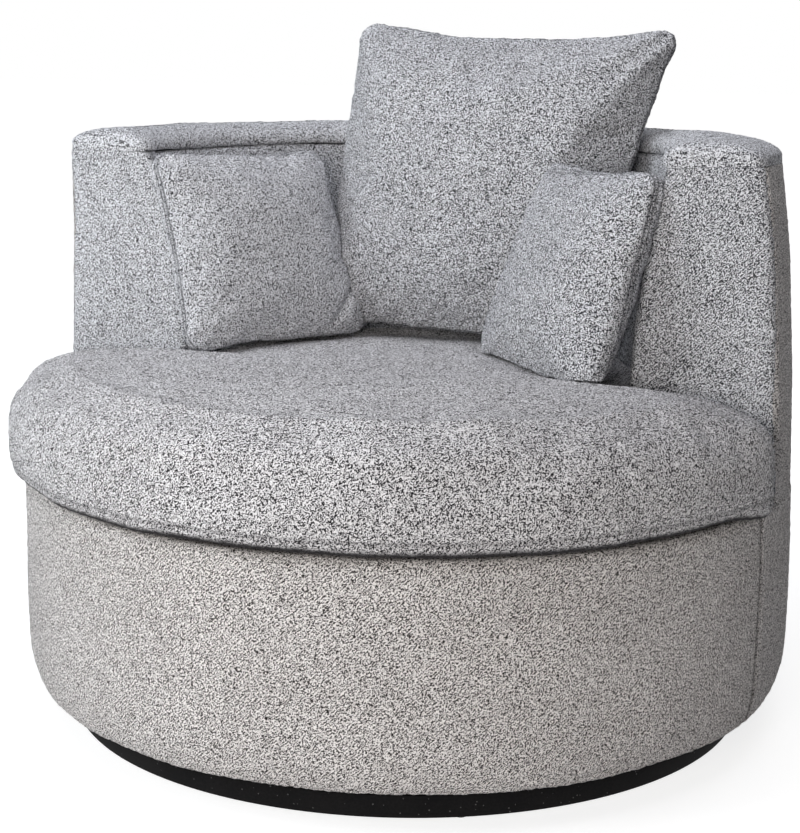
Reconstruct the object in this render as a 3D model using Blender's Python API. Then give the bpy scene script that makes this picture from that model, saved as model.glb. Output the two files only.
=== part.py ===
# Round swivel armchair: a fixed plinth, a ball bearing swivel, a framed and
# upholstered drum and C-shaped wall that turn on it, and four loose cushions.
# Metres, +Z up. The origin is on the floor on the swivel's axis, and -Y is the front.

import math

import bmesh
import bpy
from mathutils import Euler, Matrix, Vector
from mathutils.bvhtree import BVHTree

# Fits
GAP = 0.0003                 # between pieces that touch
CUSHION_CLEARANCE = 0.003    # between a loose cushion's side and what it stands beside

# Overall plan and heights
DRUM_RADIUS = 0.520          # outside of the drum's cover
DRUM_UNDERSIDE = 0.048       # height of the cover's foot over the floor
DECK_HEIGHT = 0.325          # top of the seat deck
WALL_HEIGHT = 0.742          # seam under the top roll
ROLL_RISE = 0.030            # of the top roll's crown over that seam
WALL_FOOT_SET_IN = 0.002     # of the wall's outside from the drum's, at the deck
WALL_TOP_SET_IN = 0.023      # of the wall's outside from the drum's, at the seam under the roll
INNER_FOOT_SET_IN = 0.217    # of the wall's inside from the drum's side, at the deck
INNER_TOP_SET_IN = 0.142     # of the wall's inside from the drum's side, under the roll
ARM_FACE = -0.045            # y of the two arm fronts
COVER_SEAM = -0.097          # y of the seam between the front and back covers

# Plinth
PLINTH_SET_IN = 0.062        # from the drum's side
PLINTH_HOOP_HEIGHT = 0.027
PLINTH_HOOP_WALL = 0.018
PLINTH_BOARD_THICKNESS = 0.012
GLIDE_THICKNESS = 0.003
GLIDE_RADIUS = 0.008
GLIDE_COUNT = 6

# Ball bearing swivel
SWIVEL_RADIUS = 0.160
SWIVEL_BORE_RADIUS = 0.050
SWIVEL_SHEET = 0.0025
RACE_RADIUS = 0.112
RACE_WIDTH = 0.024
RACE_FLOOR = 0.0033          # metal under the groove
RACE_CLEARANCE = 0.0008      # between a ball and its groove
BALL_RADIUS = 0.00475
BALL_COUNT = 12
CAGE_THICKNESS = 0.0016
SCREW_CIRCLE_RADIUS = 0.142
SCREW_COUNT = 4
SCREW_SHANK_RADIUS = 0.0022
SCREW_HEAD_RADIUS = 0.0045
SCREW_HEAD_HEIGHT = 0.0022
SCREW_GRIP = 0.009           # length of the shank past the plate

# Drum frame
FLOOR_BOARD_THICKNESS = 0.018
HOOP_THICKNESS = 0.018
HOOP_WIDTH = 0.065
DRUM_POST_COUNT = 6
DRUM_POST_WIDTH = 0.045
DRUM_POST_DEPTH = 0.028
DUST_CLOTH_THICKNESS = 0.0008
DUST_CLOTH_RADIUS = 0.172    # of the hole round the swivel

# Seat deck
STRAP_WIDTH = 0.050
STRAP_THICKNESS = 0.0018
LONG_STRAP_COUNT = 5
LONG_STRAP_PITCH_SHARE = 0.2655   # of the hoop's radius
CROSS_STRAP_COUNT = 4
CROSS_STRAP_PITCH_SHARE = 0.3472  # of the hoop's radius
STRAP_BEARING = 0.030        # length of a strap's end on the hoop
PAD_THICKNESS = 0.008

# Covers
COVER_THICKNESS = 0.012
FOOT_ROUND = 0.015           # radius at the drum's foot
SHOULDER_ROUND = 0.030       # radius at the drum's top edge
LINING_THICKNESS = 0.030
FACING_THICKNESS = 0.025
FACING_ROUND = 0.008
ROLL_BULGE = 0.0015          # of the top roll past the wall

# Wall frame
RAIL_THICKNESS = 0.018
RAIL_DEPTH = 0.034           # of the rail's top under the seam below the roll
BACK_POST_COUNT = 4
BACK_POST_WIDTH = 0.050
BACK_POST_DEPTH = 0.028
ARM_BOARD_THICKNESS = 0.018

# Seat cushion
SEAT_OVERHANG = 0.017        # of its round front past the drum
SEAT_THICKNESS = 0.150
SEAT_CROWN = 0.005
SEAT_SHOULDER = 0.064        # width of its rounded edge
WING_ROUND = 0.095           # radius of its corners outside the arms

# Loose cushions. Their width and height over the corners, their thickness and their place
# are shares of the inner radius of the wall's top.
BACK_SHARES = (1.2434, 1.1958, 0.4762)
BACK_PLACE_SHARES = (0.1217, 0.4008)
BACK_LEAN = 10.2
SCATTER_SHARES = (0.7937, 0.7407, 0.3042)
LEFT_PLACE_SHARES = (-0.6772, 0.1640)
LEFT_TURN = 61.7
LEFT_LEAN = 16.4
RIGHT_PLACE_SHARES = (0.5688, 0.0423)
RIGHT_TURN = -40.6
RIGHT_LEAN = 17.6
SET_OFF = 0.030              # how far from its place a cushion starts

# Facets
ROUND_STEPS = 60
TURNED_STEPS = 30
WALL_STEPS = 36
FRONT_STEPS = 28
ROUND_CORNER_STEPS = 4
SCREW_STEPS = 10
GLIDE_STEPS = 12

# Shares of the foot's radius that stand in and up, from the underside outwards
FOOT_SHARES = ((1.0, 0.0), (0.3, 0.3), (0.0, 1.0))
# Shares of the roll's rise, of its drawn-in side and of its drawn-back end
ROLL_SHARES = (
    (0.00, 0.00, 0.00),
    (0.22, -0.06, -0.06),
    (0.46, 0.02, 0.04),
    (0.72, 0.30, 0.30),
    (0.91, 0.66, 0.62),
    (1.00, 1.00, 1.00),
)
ROLL_DRAW_IN = 0.045
ROLL_DRAW_BACK = 0.040
# Shares of the cushion's undercut that stand in, and of the undercut that stand up. Those
# under zero droop over the drum's edge, in front of the wings.
SEAT_UNDERCUT_SHARES = (
    (1.00, 0.00),
    (0.73, -0.05),
    (0.39, -0.10),
    (0.11, 0.13),
)
# Shares of the shoulder that stand in, and of the thickness that stand up, from below
SEAT_EDGE_SHARES = (
    (0.00, 0.170),
    (0.00, 0.520),
    (0.06, 0.650),
    (0.17, 0.780),
    (0.32, 0.865),
    (0.60, 0.935),
    (1.00, 0.980),
)
SEAT_CROWN_SHARES = (0.72, 0.42, 0.16)
REAR_EDGE_SHARE = 0.45       # of the shoulder, at the edges inside the wall
# Shares of half the size that the middle of each side is drawn in, and of the swell
SIDE_DRAW_SHARE = 0.060
TOP_DRAW_SHARE = 0.070
FOOT_DRAW_SHARE = 0.004
FOOT_NARROW_SHARE = 0.15     # of the width, lost towards the foot of the back cushion
SWELL_POWER_SHARE = 0.38


def clear_scene():
    for old in list(bpy.data.objects):
        bpy.data.objects.remove(old, do_unlink=True)


def make_material(name, colour, roughness, metallic=0.0):
    material = bpy.data.materials.new(name)
    material.use_nodes = True
    shader = material.node_tree.nodes["Principled BSDF"]
    shader.inputs["Base Color"].default_value = (*colour, 1.0)
    shader.inputs["Roughness"].default_value = roughness
    shader.inputs["Metallic"].default_value = metallic
    material.diffuse_color = (*colour, 1.0)
    return material


def add_object(name, shape, material, parent=None, location=(0, 0, 0), rotation=(0, 0, 0)):
    """Puts the shape in the scene under its name, with the place kept in the world's frame."""
    bmesh.ops.recalc_face_normals(shape, faces=shape.faces)
    if shape.calc_volume(signed=True) < 0:
        bmesh.ops.reverse_faces(shape, faces=shape.faces)
    mesh = bpy.data.meshes.new(name)
    shape.to_mesh(mesh)
    shape.free()
    mesh.shade_smooth()
    mesh.set_sharp_from_angle(angle=math.radians(35))
    mesh.materials.append(material)
    obj = bpy.data.objects.new(name, mesh)
    bpy.context.scene.collection.objects.link(obj)
    obj.location = location
    obj.rotation_euler = rotation
    if parent:
        obj.parent = parent
        obj.matrix_parent_inverse = Matrix.Translation(parent.location).inverted()
    return obj


def add_empty(name, location=(0, 0, 0)):
    empty = bpy.data.objects.new(name, None)
    empty.empty_display_size = SWIVEL_RADIUS
    empty.location = location
    bpy.context.scene.collection.objects.link(empty)
    return empty


def cut_out(obj, name, shape):
    """Takes the shape away from the object with a Boolean on a hidden cutter."""
    cutter = add_object(name, shape, obj.data.materials[0])
    cutter.hide_render = True
    cutter.display_type = "WIRE"
    modifier = obj.modifiers.new(name, "BOOLEAN")
    modifier.operation = "DIFFERENCE"
    modifier.solver = "EXACT"
    modifier.object = cutter


def outside_facets(radius, steps):
    """The corner radius of a ring of facets that all lie at the radius or past it."""
    return radius / math.cos(math.pi / steps)


def turned(profile, steps, closed=True):
    """Turns a profile of (radius, height) about Z; a point with no radius becomes a pole."""
    shape = bmesh.new()
    rings = []
    for radius, height in profile:
        if radius == 0:
            rings.append([shape.verts.new((0, 0, height))] * steps)
            continue
        angles = (math.tau * step / steps for step in range(steps))
        rings.append(
            [shape.verts.new((radius * math.cos(a), radius * math.sin(a), height)) for a in angles]
        )
    pairs = list(zip(rings, rings[1:]))
    if closed:
        pairs.append((rings[-1], rings[0]))
    for lower, upper in pairs:
        for step in range(steps):
            after = (step + 1) % steps
            corners = [lower[step], lower[after], upper[after], upper[step]]
            corners = list(dict.fromkeys(corners))
            if len(corners) > 2:
                shape.faces.new(corners)
    return shape


def disc(radius, low, high, steps=ROUND_STEPS, edge=0.0):
    """A round board, with its top edge bevelled where an edge is given."""
    profile = [(0, low), (radius, low), (radius, high - edge)]
    if edge:
        profile.append((radius - edge, high))
    else:
        profile[-1] = (radius, high)
    return turned(profile + [(0, high)], steps, closed=False)


def ring(inner, outer, low, high, steps=ROUND_STEPS):
    inner = outside_facets(inner, steps)
    return turned([(inner, low), (outer, low), (outer, high), (inner, high)], steps)


def swept(rungs, steps, rear=True):
    """A shell round part of the plan. A rung is (inner radius, outer radius, height, end),
    and each of its two edges ends on the plane y = end."""
    shape = bmesh.new()

    def point(radius, height, end, share):
        start = math.asin(end / radius)
        stop = math.pi - start
        if not rear:
            start, stop = math.pi - start, math.tau + start
        angle = start + (stop - start) * share
        return shape.verts.new((radius * math.cos(angle), radius * math.sin(angle), height))

    rows = []
    for step in range(steps + 1):
        share = step / steps
        row = []
        for inner, outer, height, end in rungs:
            inner = outside_facets(inner, 2 * steps)
            row.append((point(inner, height, end, share), point(outer, height, end, share)))
        rows.append(row)
    for row, after in zip(rows, rows[1:]):
        for side in (0, 1):
            for rung in range(len(rungs) - 1):
                shape.faces.new(
                    (row[rung][side], after[rung][side], after[rung + 1][side], row[rung + 1][side])
                )
        for rung in (0, -1):
            shape.faces.new((row[rung][0], row[rung][1], after[rung][1], after[rung][0]))
    for row in (rows[0], rows[-1]):
        for low, high in zip(row, row[1:]):
            shape.faces.new((low[0], low[1], high[1], high[0]))
    return shape


def block(size, centre=(0, 0, 0), angle=0.0):
    """A box of the given size, turned about its own middle and then placed."""
    shape = bmesh.new()
    place = Matrix.Translation(centre) @ Matrix.Rotation(angle, 4, "Z")
    bmesh.ops.create_cube(shape, size=1.0, matrix=place @ Matrix.Diagonal((*size, 1.0)))
    return shape


def hexahedron(inner, outer, near, far):
    """A board between y = near and y = far. inner and outer give x at (y, z) for its two
    heights, as lists of (x at near, x at far, z)."""
    shape = bmesh.new()
    corners = []
    for side in (inner, outer):
        for x_near, x_far, z in side:
            corners.append((shape.verts.new((x_near, near, z)), shape.verts.new((x_far, far, z))))
    (a, b), (c, d), (e, f), (g, h) = corners
    for face in ((a, e, g, c), (b, d, h, f), (a, b, f, e), (c, g, h, d), (a, c, d, b), (e, f, h, g)):
        shape.faces.new(face)
    return shape


def between(low, high, share):
    return low + (high - low) * share


def wall_share(height):
    return (height - DECK_HEIGHT) / (WALL_HEIGHT - DECK_HEIGHT)


def outer_radius(height):
    return between(WALL_FOOT_RADIUS, WALL_TOP_RADIUS, wall_share(height))


def inner_radius(height):
    return between(INNER_FOOT_RADIUS, INNER_TOP_RADIUS, wall_share(height))


def lining_back(height):
    return inner_radius(height) + LINING_THICKNESS


def half_chord(radius, y):
    return math.sqrt(radius**2 - y**2)


# Radii and heights of the whole that follow
WALL_FOOT_RADIUS = DRUM_RADIUS - WALL_FOOT_SET_IN
WALL_TOP_RADIUS = DRUM_RADIUS - WALL_TOP_SET_IN
PLINTH_RADIUS = DRUM_RADIUS - PLINTH_SET_IN
SEAT_RADIUS = DRUM_RADIUS + SEAT_OVERHANG
INNER_FOOT_RADIUS = DRUM_RADIUS - INNER_FOOT_SET_IN
INNER_TOP_RADIUS = DRUM_RADIUS - INNER_TOP_SET_IN
ROLL_HEIGHT = WALL_HEIGHT + ROLL_RISE
RAIL_HEIGHT = WALL_HEIGHT - RAIL_DEPTH

# Heights that follow from the stack of pieces
PLINTH_HOOP_BOTTOM = GLIDE_THICKNESS + GAP
PLINTH_BOARD_BOTTOM = PLINTH_HOOP_BOTTOM + PLINTH_HOOP_HEIGHT + GAP
PLATE_BOTTOM = PLINTH_BOARD_BOTTOM + PLINTH_BOARD_THICKNESS + GAP
BALL_HEIGHT = PLATE_BOTTOM + RACE_FLOOR + RACE_CLEARANCE + BALL_RADIUS
PLATE_TOP = 2 * BALL_HEIGHT - PLATE_BOTTOM
FLOOR_BOARD_BOTTOM = PLATE_TOP + GAP
FLOOR_BOARD_TOP = FLOOR_BOARD_BOTTOM + FLOOR_BOARD_THICKNESS
PAD_BOTTOM = DECK_HEIGHT - PAD_THICKNESS
LONG_STRAP_BOTTOM = PAD_BOTTOM - GAP - STRAP_THICKNESS
CROSS_STRAP_BOTTOM = LONG_STRAP_BOTTOM - GAP - STRAP_THICKNESS
HOOP_TOP = CROSS_STRAP_BOTTOM - GAP
HOOP_BOTTOM = HOOP_TOP - HOOP_THICKNESS
RAIL_BOTTOM = RAIL_HEIGHT - RAIL_THICKNESS
SEAT_BOTTOM = DECK_HEIGHT + GAP

# Radii and planes that follow
LIP_RADIUS = DRUM_RADIUS - SHOULDER_ROUND
COVER_INSIDE = DRUM_RADIUS - COVER_THICKNESS
HOOP_RADIUS = LIP_RADIUS - GAP
FRAME_RADIUS = min(HOOP_RADIUS, outer_radius(RAIL_HEIGHT) - COVER_THICKNESS) - CUSHION_CLEARANCE
WALL_END = ARM_FACE + FACING_THICKNESS + GAP
SEAT_WING = ARM_FACE - CUSHION_CLEARANCE
COVER_LIP_RADIUS = LIP_RADIUS + COVER_THICKNESS / 2
SEAT_UNDERCUT = SEAT_RADIUS - COVER_LIP_RADIUS - GAP


def make_plinth(materials, parent):
    hoop_top = PLINTH_HOOP_BOTTOM + PLINTH_HOOP_HEIGHT
    inner = PLINTH_RADIUS - PLINTH_HOOP_WALL
    hoop = ring(inner, PLINTH_RADIUS, PLINTH_HOOP_BOTTOM, hoop_top)
    add_object("plinth_hoop", hoop, materials["black_paint"], parent)
    board_top = PLINTH_BOARD_BOTTOM + PLINTH_BOARD_THICKNESS
    board = disc(PLINTH_RADIUS, PLINTH_BOARD_BOTTOM, board_top)
    obj = add_object("plinth_board", board, materials["black_paint"], parent)
    cut_out(obj, "plinth_screw_holes", screw_holes(PLINTH_BOARD_BOTTOM, board_top))
    middle = PLINTH_RADIUS - PLINTH_HOOP_WALL / 2
    for number in range(GLIDE_COUNT):
        angle = math.tau * number / GLIDE_COUNT
        glide = disc(GLIDE_RADIUS, 0, GLIDE_THICKNESS, GLIDE_STEPS)
        place = (middle * math.cos(angle), middle * math.sin(angle), 0)
        add_object(f"glide_{number + 1}", glide, materials["black_nylon"], parent, place)


def screw_angles():
    return [math.tau * (number + 0.5) / SCREW_COUNT for number in range(SCREW_COUNT)]


def screw_holes(low, high):
    """Cutters for the swivel's screws, through everything between two heights."""
    shape = bmesh.new()
    radius = outside_facets(SCREW_SHANK_RADIUS + GAP, SCREW_STEPS)
    for angle in screw_angles():
        x, y = SCREW_CIRCLE_RADIUS * math.cos(angle), SCREW_CIRCLE_RADIUS * math.sin(angle)
        bmesh.ops.create_cone(
            shape,
            cap_ends=True,
            segments=SCREW_STEPS,
            radius1=radius,
            radius2=radius,
            depth=high - low + 2 * SCREW_HEAD_HEIGHT,
            matrix=Matrix.Translation((x, y, (low + high) / 2)),
        )
    return shape


def screw_shape():
    """A pan-head screw that stands head up, with the underside of its head at zero."""
    length = SWIVEL_SHEET + 2 * GAP + SCREW_GRIP
    tip = length - SCREW_SHANK_RADIUS
    profile = [
        (0, -length),
        (SCREW_SHANK_RADIUS / 2, -length),
        (SCREW_SHANK_RADIUS, -tip),
        (SCREW_SHANK_RADIUS, 0),
        (SCREW_HEAD_RADIUS, 0),
        (SCREW_HEAD_RADIUS, SCREW_HEAD_HEIGHT / 2),
        (SCREW_HEAD_RADIUS / 2, SCREW_HEAD_HEIGHT),
        (0, SCREW_HEAD_HEIGHT),
    ]
    return turned(profile, SCREW_STEPS, closed=False)


def swivel_plate_profile():
    """The lower plate: a pressed sheet that rises to a grooved race."""
    sheet_top = PLATE_BOTTOM + SWIVEL_SHEET
    race_top = BALL_HEIGHT - CAGE_THICKNESS / 2 - GAP
    outer, inner = RACE_RADIUS + RACE_WIDTH / 2, RACE_RADIUS - RACE_WIDTH / 2
    groove = BALL_RADIUS + RACE_CLEARANCE
    middle = (RACE_RADIUS + outside_facets(RACE_RADIUS, TURNED_STEPS)) / 2
    start = math.asin((BALL_HEIGHT - race_top) / groove)
    points = [
        (SWIVEL_BORE_RADIUS, PLATE_BOTTOM),
        (SWIVEL_RADIUS, PLATE_BOTTOM),
        (SWIVEL_RADIUS, sheet_top),
        (outer, sheet_top),
        (outer, race_top),
    ]
    for step in range(ROUND_CORNER_STEPS + 1):
        angle = -between(start, math.pi - start, step / ROUND_CORNER_STEPS)
        points.append(
            (middle + groove * math.cos(angle), BALL_HEIGHT + groove * math.sin(angle))
        )
    return points + [(inner, race_top), (inner, sheet_top), (SWIVEL_BORE_RADIUS, sheet_top)]


def make_swivel(materials, base, turning, cage_parent):
    steel = materials["zinc_steel"]
    lower = swivel_plate_profile()
    upper = [(radius, 2 * BALL_HEIGHT - height) for radius, height in lower]
    for name, profile, parent in (
        ("swivel_plate_lower", lower, base),
        ("swivel_plate_upper", upper, turning),
    ):
        obj = add_object(name, turned(profile, TURNED_STEPS), steel, parent)
        cut_out(obj, name + "_holes", screw_holes(PLATE_BOTTOM, PLATE_TOP))
    for number, angle in enumerate(screw_angles(), 1):
        x, y = SCREW_CIRCLE_RADIUS * math.cos(angle), SCREW_CIRCLE_RADIUS * math.sin(angle)
        low = (x, y, PLATE_BOTTOM + SWIVEL_SHEET + GAP)
        add_object(f"plinth_screw_{number}", screw_shape(), steel, base, low)
        high = (x, y, PLATE_TOP - SWIVEL_SHEET - GAP)
        over = (math.pi, 0, 0)
        add_object(f"frame_screw_{number}", screw_shape(), steel, turning, high, over)
    make_cage(materials, cage_parent)


def make_cage(materials, parent):
    """The cage with its balls, which stand out on both sides of it."""
    low = BALL_HEIGHT - CAGE_THICKNESS / 2
    inner, outer = RACE_RADIUS - RACE_WIDTH / 2, RACE_RADIUS + RACE_WIDTH / 2
    cage = ring(inner, outer, low, low + CAGE_THICKNESS, TURNED_STEPS)
    obj = add_object("ball_cage", cage, materials["zinc_steel"], parent)
    balls = bmesh.new()
    for number in range(BALL_COUNT):
        angle = math.tau * number / BALL_COUNT
        place = (RACE_RADIUS * math.cos(angle), RACE_RADIUS * math.sin(angle), BALL_HEIGHT)
        bmesh.ops.create_uvsphere(
            balls, u_segments=8, v_segments=6, radius=BALL_RADIUS, matrix=Matrix.Translation(place)
        )
    cutter = add_object("ball_cage_balls", balls, materials["zinc_steel"])
    cutter.hide_render = True
    cutter.display_type = "WIRE"
    modifier = obj.modifiers.new("balls", "BOOLEAN")
    modifier.operation = "UNION"
    modifier.solver = "EXACT"
    modifier.object = cutter


def make_drum_frame(materials, parent):
    wood = materials["plywood"]
    board = disc(COVER_INSIDE - GAP, FLOOR_BOARD_BOTTOM, FLOOR_BOARD_TOP)
    obj = add_object("floor_board", board, wood, parent)
    cut_out(obj, "frame_screw_holes", screw_holes(FLOOR_BOARD_BOTTOM, FLOOR_BOARD_TOP))
    cloth_top = FLOOR_BOARD_BOTTOM - GAP
    cloth_bottom = cloth_top - DUST_CLOTH_THICKNESS
    cloth = ring(DUST_CLOTH_RADIUS, LIP_RADIUS - GAP, cloth_bottom, cloth_top)
    add_object("dust_cloth", cloth, materials["black_cloth"], parent)
    hoop = ring(HOOP_RADIUS - HOOP_WIDTH, HOOP_RADIUS, HOOP_BOTTOM, HOOP_TOP)
    add_object("deck_hoop", hoop, wood, parent)
    height = HOOP_BOTTOM - FLOOR_BOARD_TOP - 2 * GAP
    middle = HOOP_RADIUS - HOOP_WIDTH / 2
    for number in range(DRUM_POST_COUNT):
        angle = math.tau * (number + 0.5) / DRUM_POST_COUNT
        place = (middle * math.cos(angle), middle * math.sin(angle), FLOOR_BOARD_TOP + GAP + height / 2)
        post = block((DRUM_POST_DEPTH, DRUM_POST_WIDTH, height))
        add_object(f"drum_post_{number + 1}", post, wood, parent, place, (0, 0, angle))


def strap_length(offset):
    """How long a strap is whose middle lies this far from the chair's middle."""
    reach = HOOP_RADIUS - HOOP_WIDTH + STRAP_BEARING
    return 2 * half_chord(reach, abs(offset) + STRAP_WIDTH / 2)


def make_deck(materials, parent):
    web = materials["webbing"]
    for number in range(LONG_STRAP_COUNT):
        x = HOOP_RADIUS * LONG_STRAP_PITCH_SHARE * (number - (LONG_STRAP_COUNT - 1) / 2)
        strap = block((STRAP_WIDTH, strap_length(x), STRAP_THICKNESS))
        place = (x, 0, LONG_STRAP_BOTTOM + STRAP_THICKNESS / 2)
        add_object(f"long_strap_{number + 1}", strap, web, parent, place)
    for number in range(CROSS_STRAP_COUNT):
        y = HOOP_RADIUS * CROSS_STRAP_PITCH_SHARE * (number - (CROSS_STRAP_COUNT - 1) / 2)
        strap = block((strap_length(y), STRAP_WIDTH, STRAP_THICKNESS))
        place = (0, y, CROSS_STRAP_BOTTOM + STRAP_THICKNESS / 2)
        add_object(f"cross_strap_{number + 1}", strap, web, parent, place)
    pad = disc(LIP_RADIUS - GAP, PAD_BOTTOM, DECK_HEIGHT)
    obj = add_object("deck_pad", pad, materials["deck_felt"], parent)
    cut_out(obj, "deck_pad_notches", deck_notches())


def deck_notches():
    """Cutters for the posts and arm boards that pass the deck's pad to the hoop."""
    shape = bmesh.new()
    middle_height = (PAD_BOTTOM + DECK_HEIGHT) / 2
    over = 3 * PAD_THICKNESS
    boxes = []
    for angle in back_post_angles():
        depth = HOOP_RADIUS - back_post_radius() + BACK_POST_DEPTH
        radius = back_post_radius() - BACK_POST_DEPTH / 2 - GAP + depth / 2
        size = (depth, BACK_POST_WIDTH + 2 * GAP, over)
        boxes.append((size, (radius * math.cos(angle), radius * math.sin(angle)), angle))
    inner = arm_board_side(lining_back, DECK_HEIGHT, GAP)[0] - 2 * GAP
    for side in (-1, 1):
        size = (HOOP_RADIUS - inner + GAP, ARM_BOARD_THICKNESS + 2 * GAP, over)
        middle = side * (inner + size[0] / 2)
        boxes.append((size, (middle, WALL_END + ARM_BOARD_THICKNESS / 2), 0.0))
    for size, (x, y), angle in boxes:
        place = Matrix.Translation((x, y, middle_height)) @ Matrix.Rotation(angle, 4, "Z")
        bmesh.ops.create_cube(shape, size=1.0, matrix=place @ Matrix.Diagonal((*size, 1.0)))
    return shape


def foot_rungs(end):
    """The turned-in foot that both covers share, up to where the cover's wall begins."""
    rungs = []
    for inward, upward in FOOT_SHARES:
        height = between(DRUM_UNDERSIDE, FLOOR_BOARD_BOTTOM - GAP, upward)
        rungs.append((LIP_RADIUS, DRUM_RADIUS - FOOT_ROUND * inward, height, end))
    rungs.append((COVER_INSIDE, DRUM_RADIUS, FLOOR_BOARD_BOTTOM, end))
    return rungs


def make_front_cover(materials, parent):
    end = COVER_SEAM - GAP
    start = DECK_HEIGHT - SHOULDER_ROUND
    rungs = foot_rungs(end)
    lip_bottom = DECK_HEIGHT - COVER_THICKNESS
    for step in range(ROUND_CORNER_STEPS + 1):
        angle = math.pi / 2 * step / ROUND_CORNER_STEPS
        outer = LIP_RADIUS + SHOULDER_ROUND * math.cos(angle)
        height = start + SHOULDER_ROUND * math.sin(angle)
        if height < lip_bottom:
            rungs.append((COVER_INSIDE, outer, height, end))
        elif step < ROUND_CORNER_STEPS:
            rungs.append((LIP_RADIUS, outer, height, end))
    rungs.append((LIP_RADIUS, COVER_LIP_RADIUS, DECK_HEIGHT, end))
    cover = swept(rungs, FRONT_STEPS, rear=False)
    add_object("drum_front_cover", cover, materials["boucle"], parent)


def make_back_cover(materials, parent):
    """The outer back: full height behind the arms, and only the drum in front of them."""
    lip_bottom = DECK_HEIGHT - COVER_THICKNESS
    rungs = foot_rungs(COVER_SEAM)
    rungs += [
        (COVER_INSIDE, DRUM_RADIUS, DECK_HEIGHT - SHOULDER_ROUND, COVER_SEAM),
        (COVER_INSIDE, WALL_FOOT_RADIUS, lip_bottom, COVER_SEAM),
        (LIP_RADIUS, WALL_FOOT_RADIUS, lip_bottom + GAP, COVER_SEAM),
        (LIP_RADIUS, WALL_FOOT_RADIUS, DECK_HEIGHT, COVER_SEAM),
        (WALL_FOOT_RADIUS - COVER_THICKNESS, WALL_FOOT_RADIUS, DECK_HEIGHT + GAP, WALL_END),
        (WALL_TOP_RADIUS - COVER_THICKNESS, WALL_TOP_RADIUS, WALL_HEIGHT - GAP, WALL_END),
    ]
    add_object("outer_back_cover", swept(rungs, WALL_STEPS), materials["boucle"], parent)


def make_inner_lining(materials, parent):
    rungs = []
    for height in (DECK_HEIGHT + GAP, WALL_HEIGHT - GAP):
        rungs.append((inner_radius(height), lining_back(height), height, WALL_END))
    add_object("inner_back_lining", swept(rungs, WALL_STEPS), materials["boucle"], parent)


def make_top_roll(materials, parent):
    """A padded cap over the wall, with a tongue that goes down between the two covers."""
    inner = lining_back(WALL_HEIGHT) + GAP
    outer = WALL_TOP_RADIUS - COVER_THICKNESS - GAP
    rungs = [(inner, outer, RAIL_HEIGHT + GAP, WALL_END), (inner, outer, WALL_HEIGHT - GAP, WALL_END)]
    for rise, draw_in, draw_back in ROLL_SHARES:
        low = INNER_TOP_RADIUS - ROLL_BULGE + ROLL_DRAW_IN * draw_in
        high = WALL_TOP_RADIUS + ROLL_BULGE - ROLL_DRAW_IN * draw_in
        end = ARM_FACE + ROLL_DRAW_BACK * draw_back
        rungs.append((low, high, between(WALL_HEIGHT, ROLL_HEIGHT, rise), end))
    add_object("top_roll", swept(rungs, WALL_STEPS), materials["boucle"], parent)


def facing_side(radius_at, side):
    """x of one edge of an arm's facing at its front and back planes, at its two heights."""
    back = ARM_FACE + FACING_THICKNESS
    found = []
    for height in (DECK_HEIGHT + GAP, WALL_HEIGHT - GAP):
        radius = radius_at(height)
        found.append((side * half_chord(radius, ARM_FACE), side * half_chord(radius, back), height))
    return found


def make_arm_facings(materials, parent):
    back = ARM_FACE + FACING_THICKNESS
    for name, side in (("arm_facing_left", -1), ("arm_facing_right", 1)):
        inner, outer = facing_side(inner_radius, side), facing_side(outer_radius, side)
        shape = hexahedron(inner, outer, ARM_FACE, back)
        front = [v for v in shape.verts if v.co.y < (ARM_FACE + back) / 2]
        edges = [e for e in shape.edges if set(e.verts) <= set(front)]
        bmesh.ops.bevel(shape, geom=edges, offset=FACING_ROUND, segments=3, affect="EDGES", profile=0.5)
        add_object(name, shape, materials["boucle"], parent)


def arm_board_side(radius_at, height, inset):
    """x of an arm board's edge at its two faces, set in from the cover beside it."""
    radius = radius_at(height) + inset
    return half_chord(radius, WALL_END), half_chord(radius, WALL_END + ARM_BOARD_THICKNESS)


def make_wall_frame(materials, parent):
    wood = materials["plywood"]
    low, high = HOOP_TOP + GAP, RAIL_BOTTOM - GAP
    far = WALL_END + ARM_BOARD_THICKNESS
    for name, side in (("arm_board_left", -1), ("arm_board_right", 1)):
        inner, outer = [], []
        for height in (low, high):
            near_x, far_x = arm_board_side(lining_back, max(height, DECK_HEIGHT), GAP)
            inner.append((side * near_x, side * far_x, height))
            outer.append(
                (side * half_chord(FRAME_RADIUS, WALL_END), side * half_chord(FRAME_RADIUS, far), height)
            )
        board = hexahedron(inner, outer, WALL_END, far)
        add_object(name, board, wood, parent)
    for number, angle in enumerate(back_post_angles(), 1):
        radius = back_post_radius()
        post = block((BACK_POST_DEPTH, BACK_POST_WIDTH, high - low))
        place = (radius * math.cos(angle), radius * math.sin(angle), (low + high) / 2)
        add_object(f"back_post_{number}", post, wood, parent, place, (0, 0, angle))
    rail_inner = lining_back(RAIL_HEIGHT) + GAP
    rungs = [(rail_inner, FRAME_RADIUS, z, WALL_END) for z in (RAIL_BOTTOM, RAIL_HEIGHT)]
    add_object("top_rail", swept(rungs, WALL_STEPS), wood, parent)


def back_post_angles():
    """The back posts stand at even angles behind the two arm boards."""
    return [math.pi * number / (BACK_POST_COUNT + 1) for number in range(1, BACK_POST_COUNT + 1)]


def back_post_radius():
    """Where a post's middle stands, so that its outer corners lie on the frame's radius."""
    return half_chord(FRAME_RADIUS, BACK_POST_WIDTH / 2) - BACK_POST_DEPTH / 2


def arc(centre, radius, start, stop, steps):
    """Points of an arc, without its last one."""
    angles = (between(start, stop, step / steps) for step in range(steps))
    return [(centre[0] + radius * math.cos(a), centre[1] + radius * math.sin(a)) for a in angles]


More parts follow.
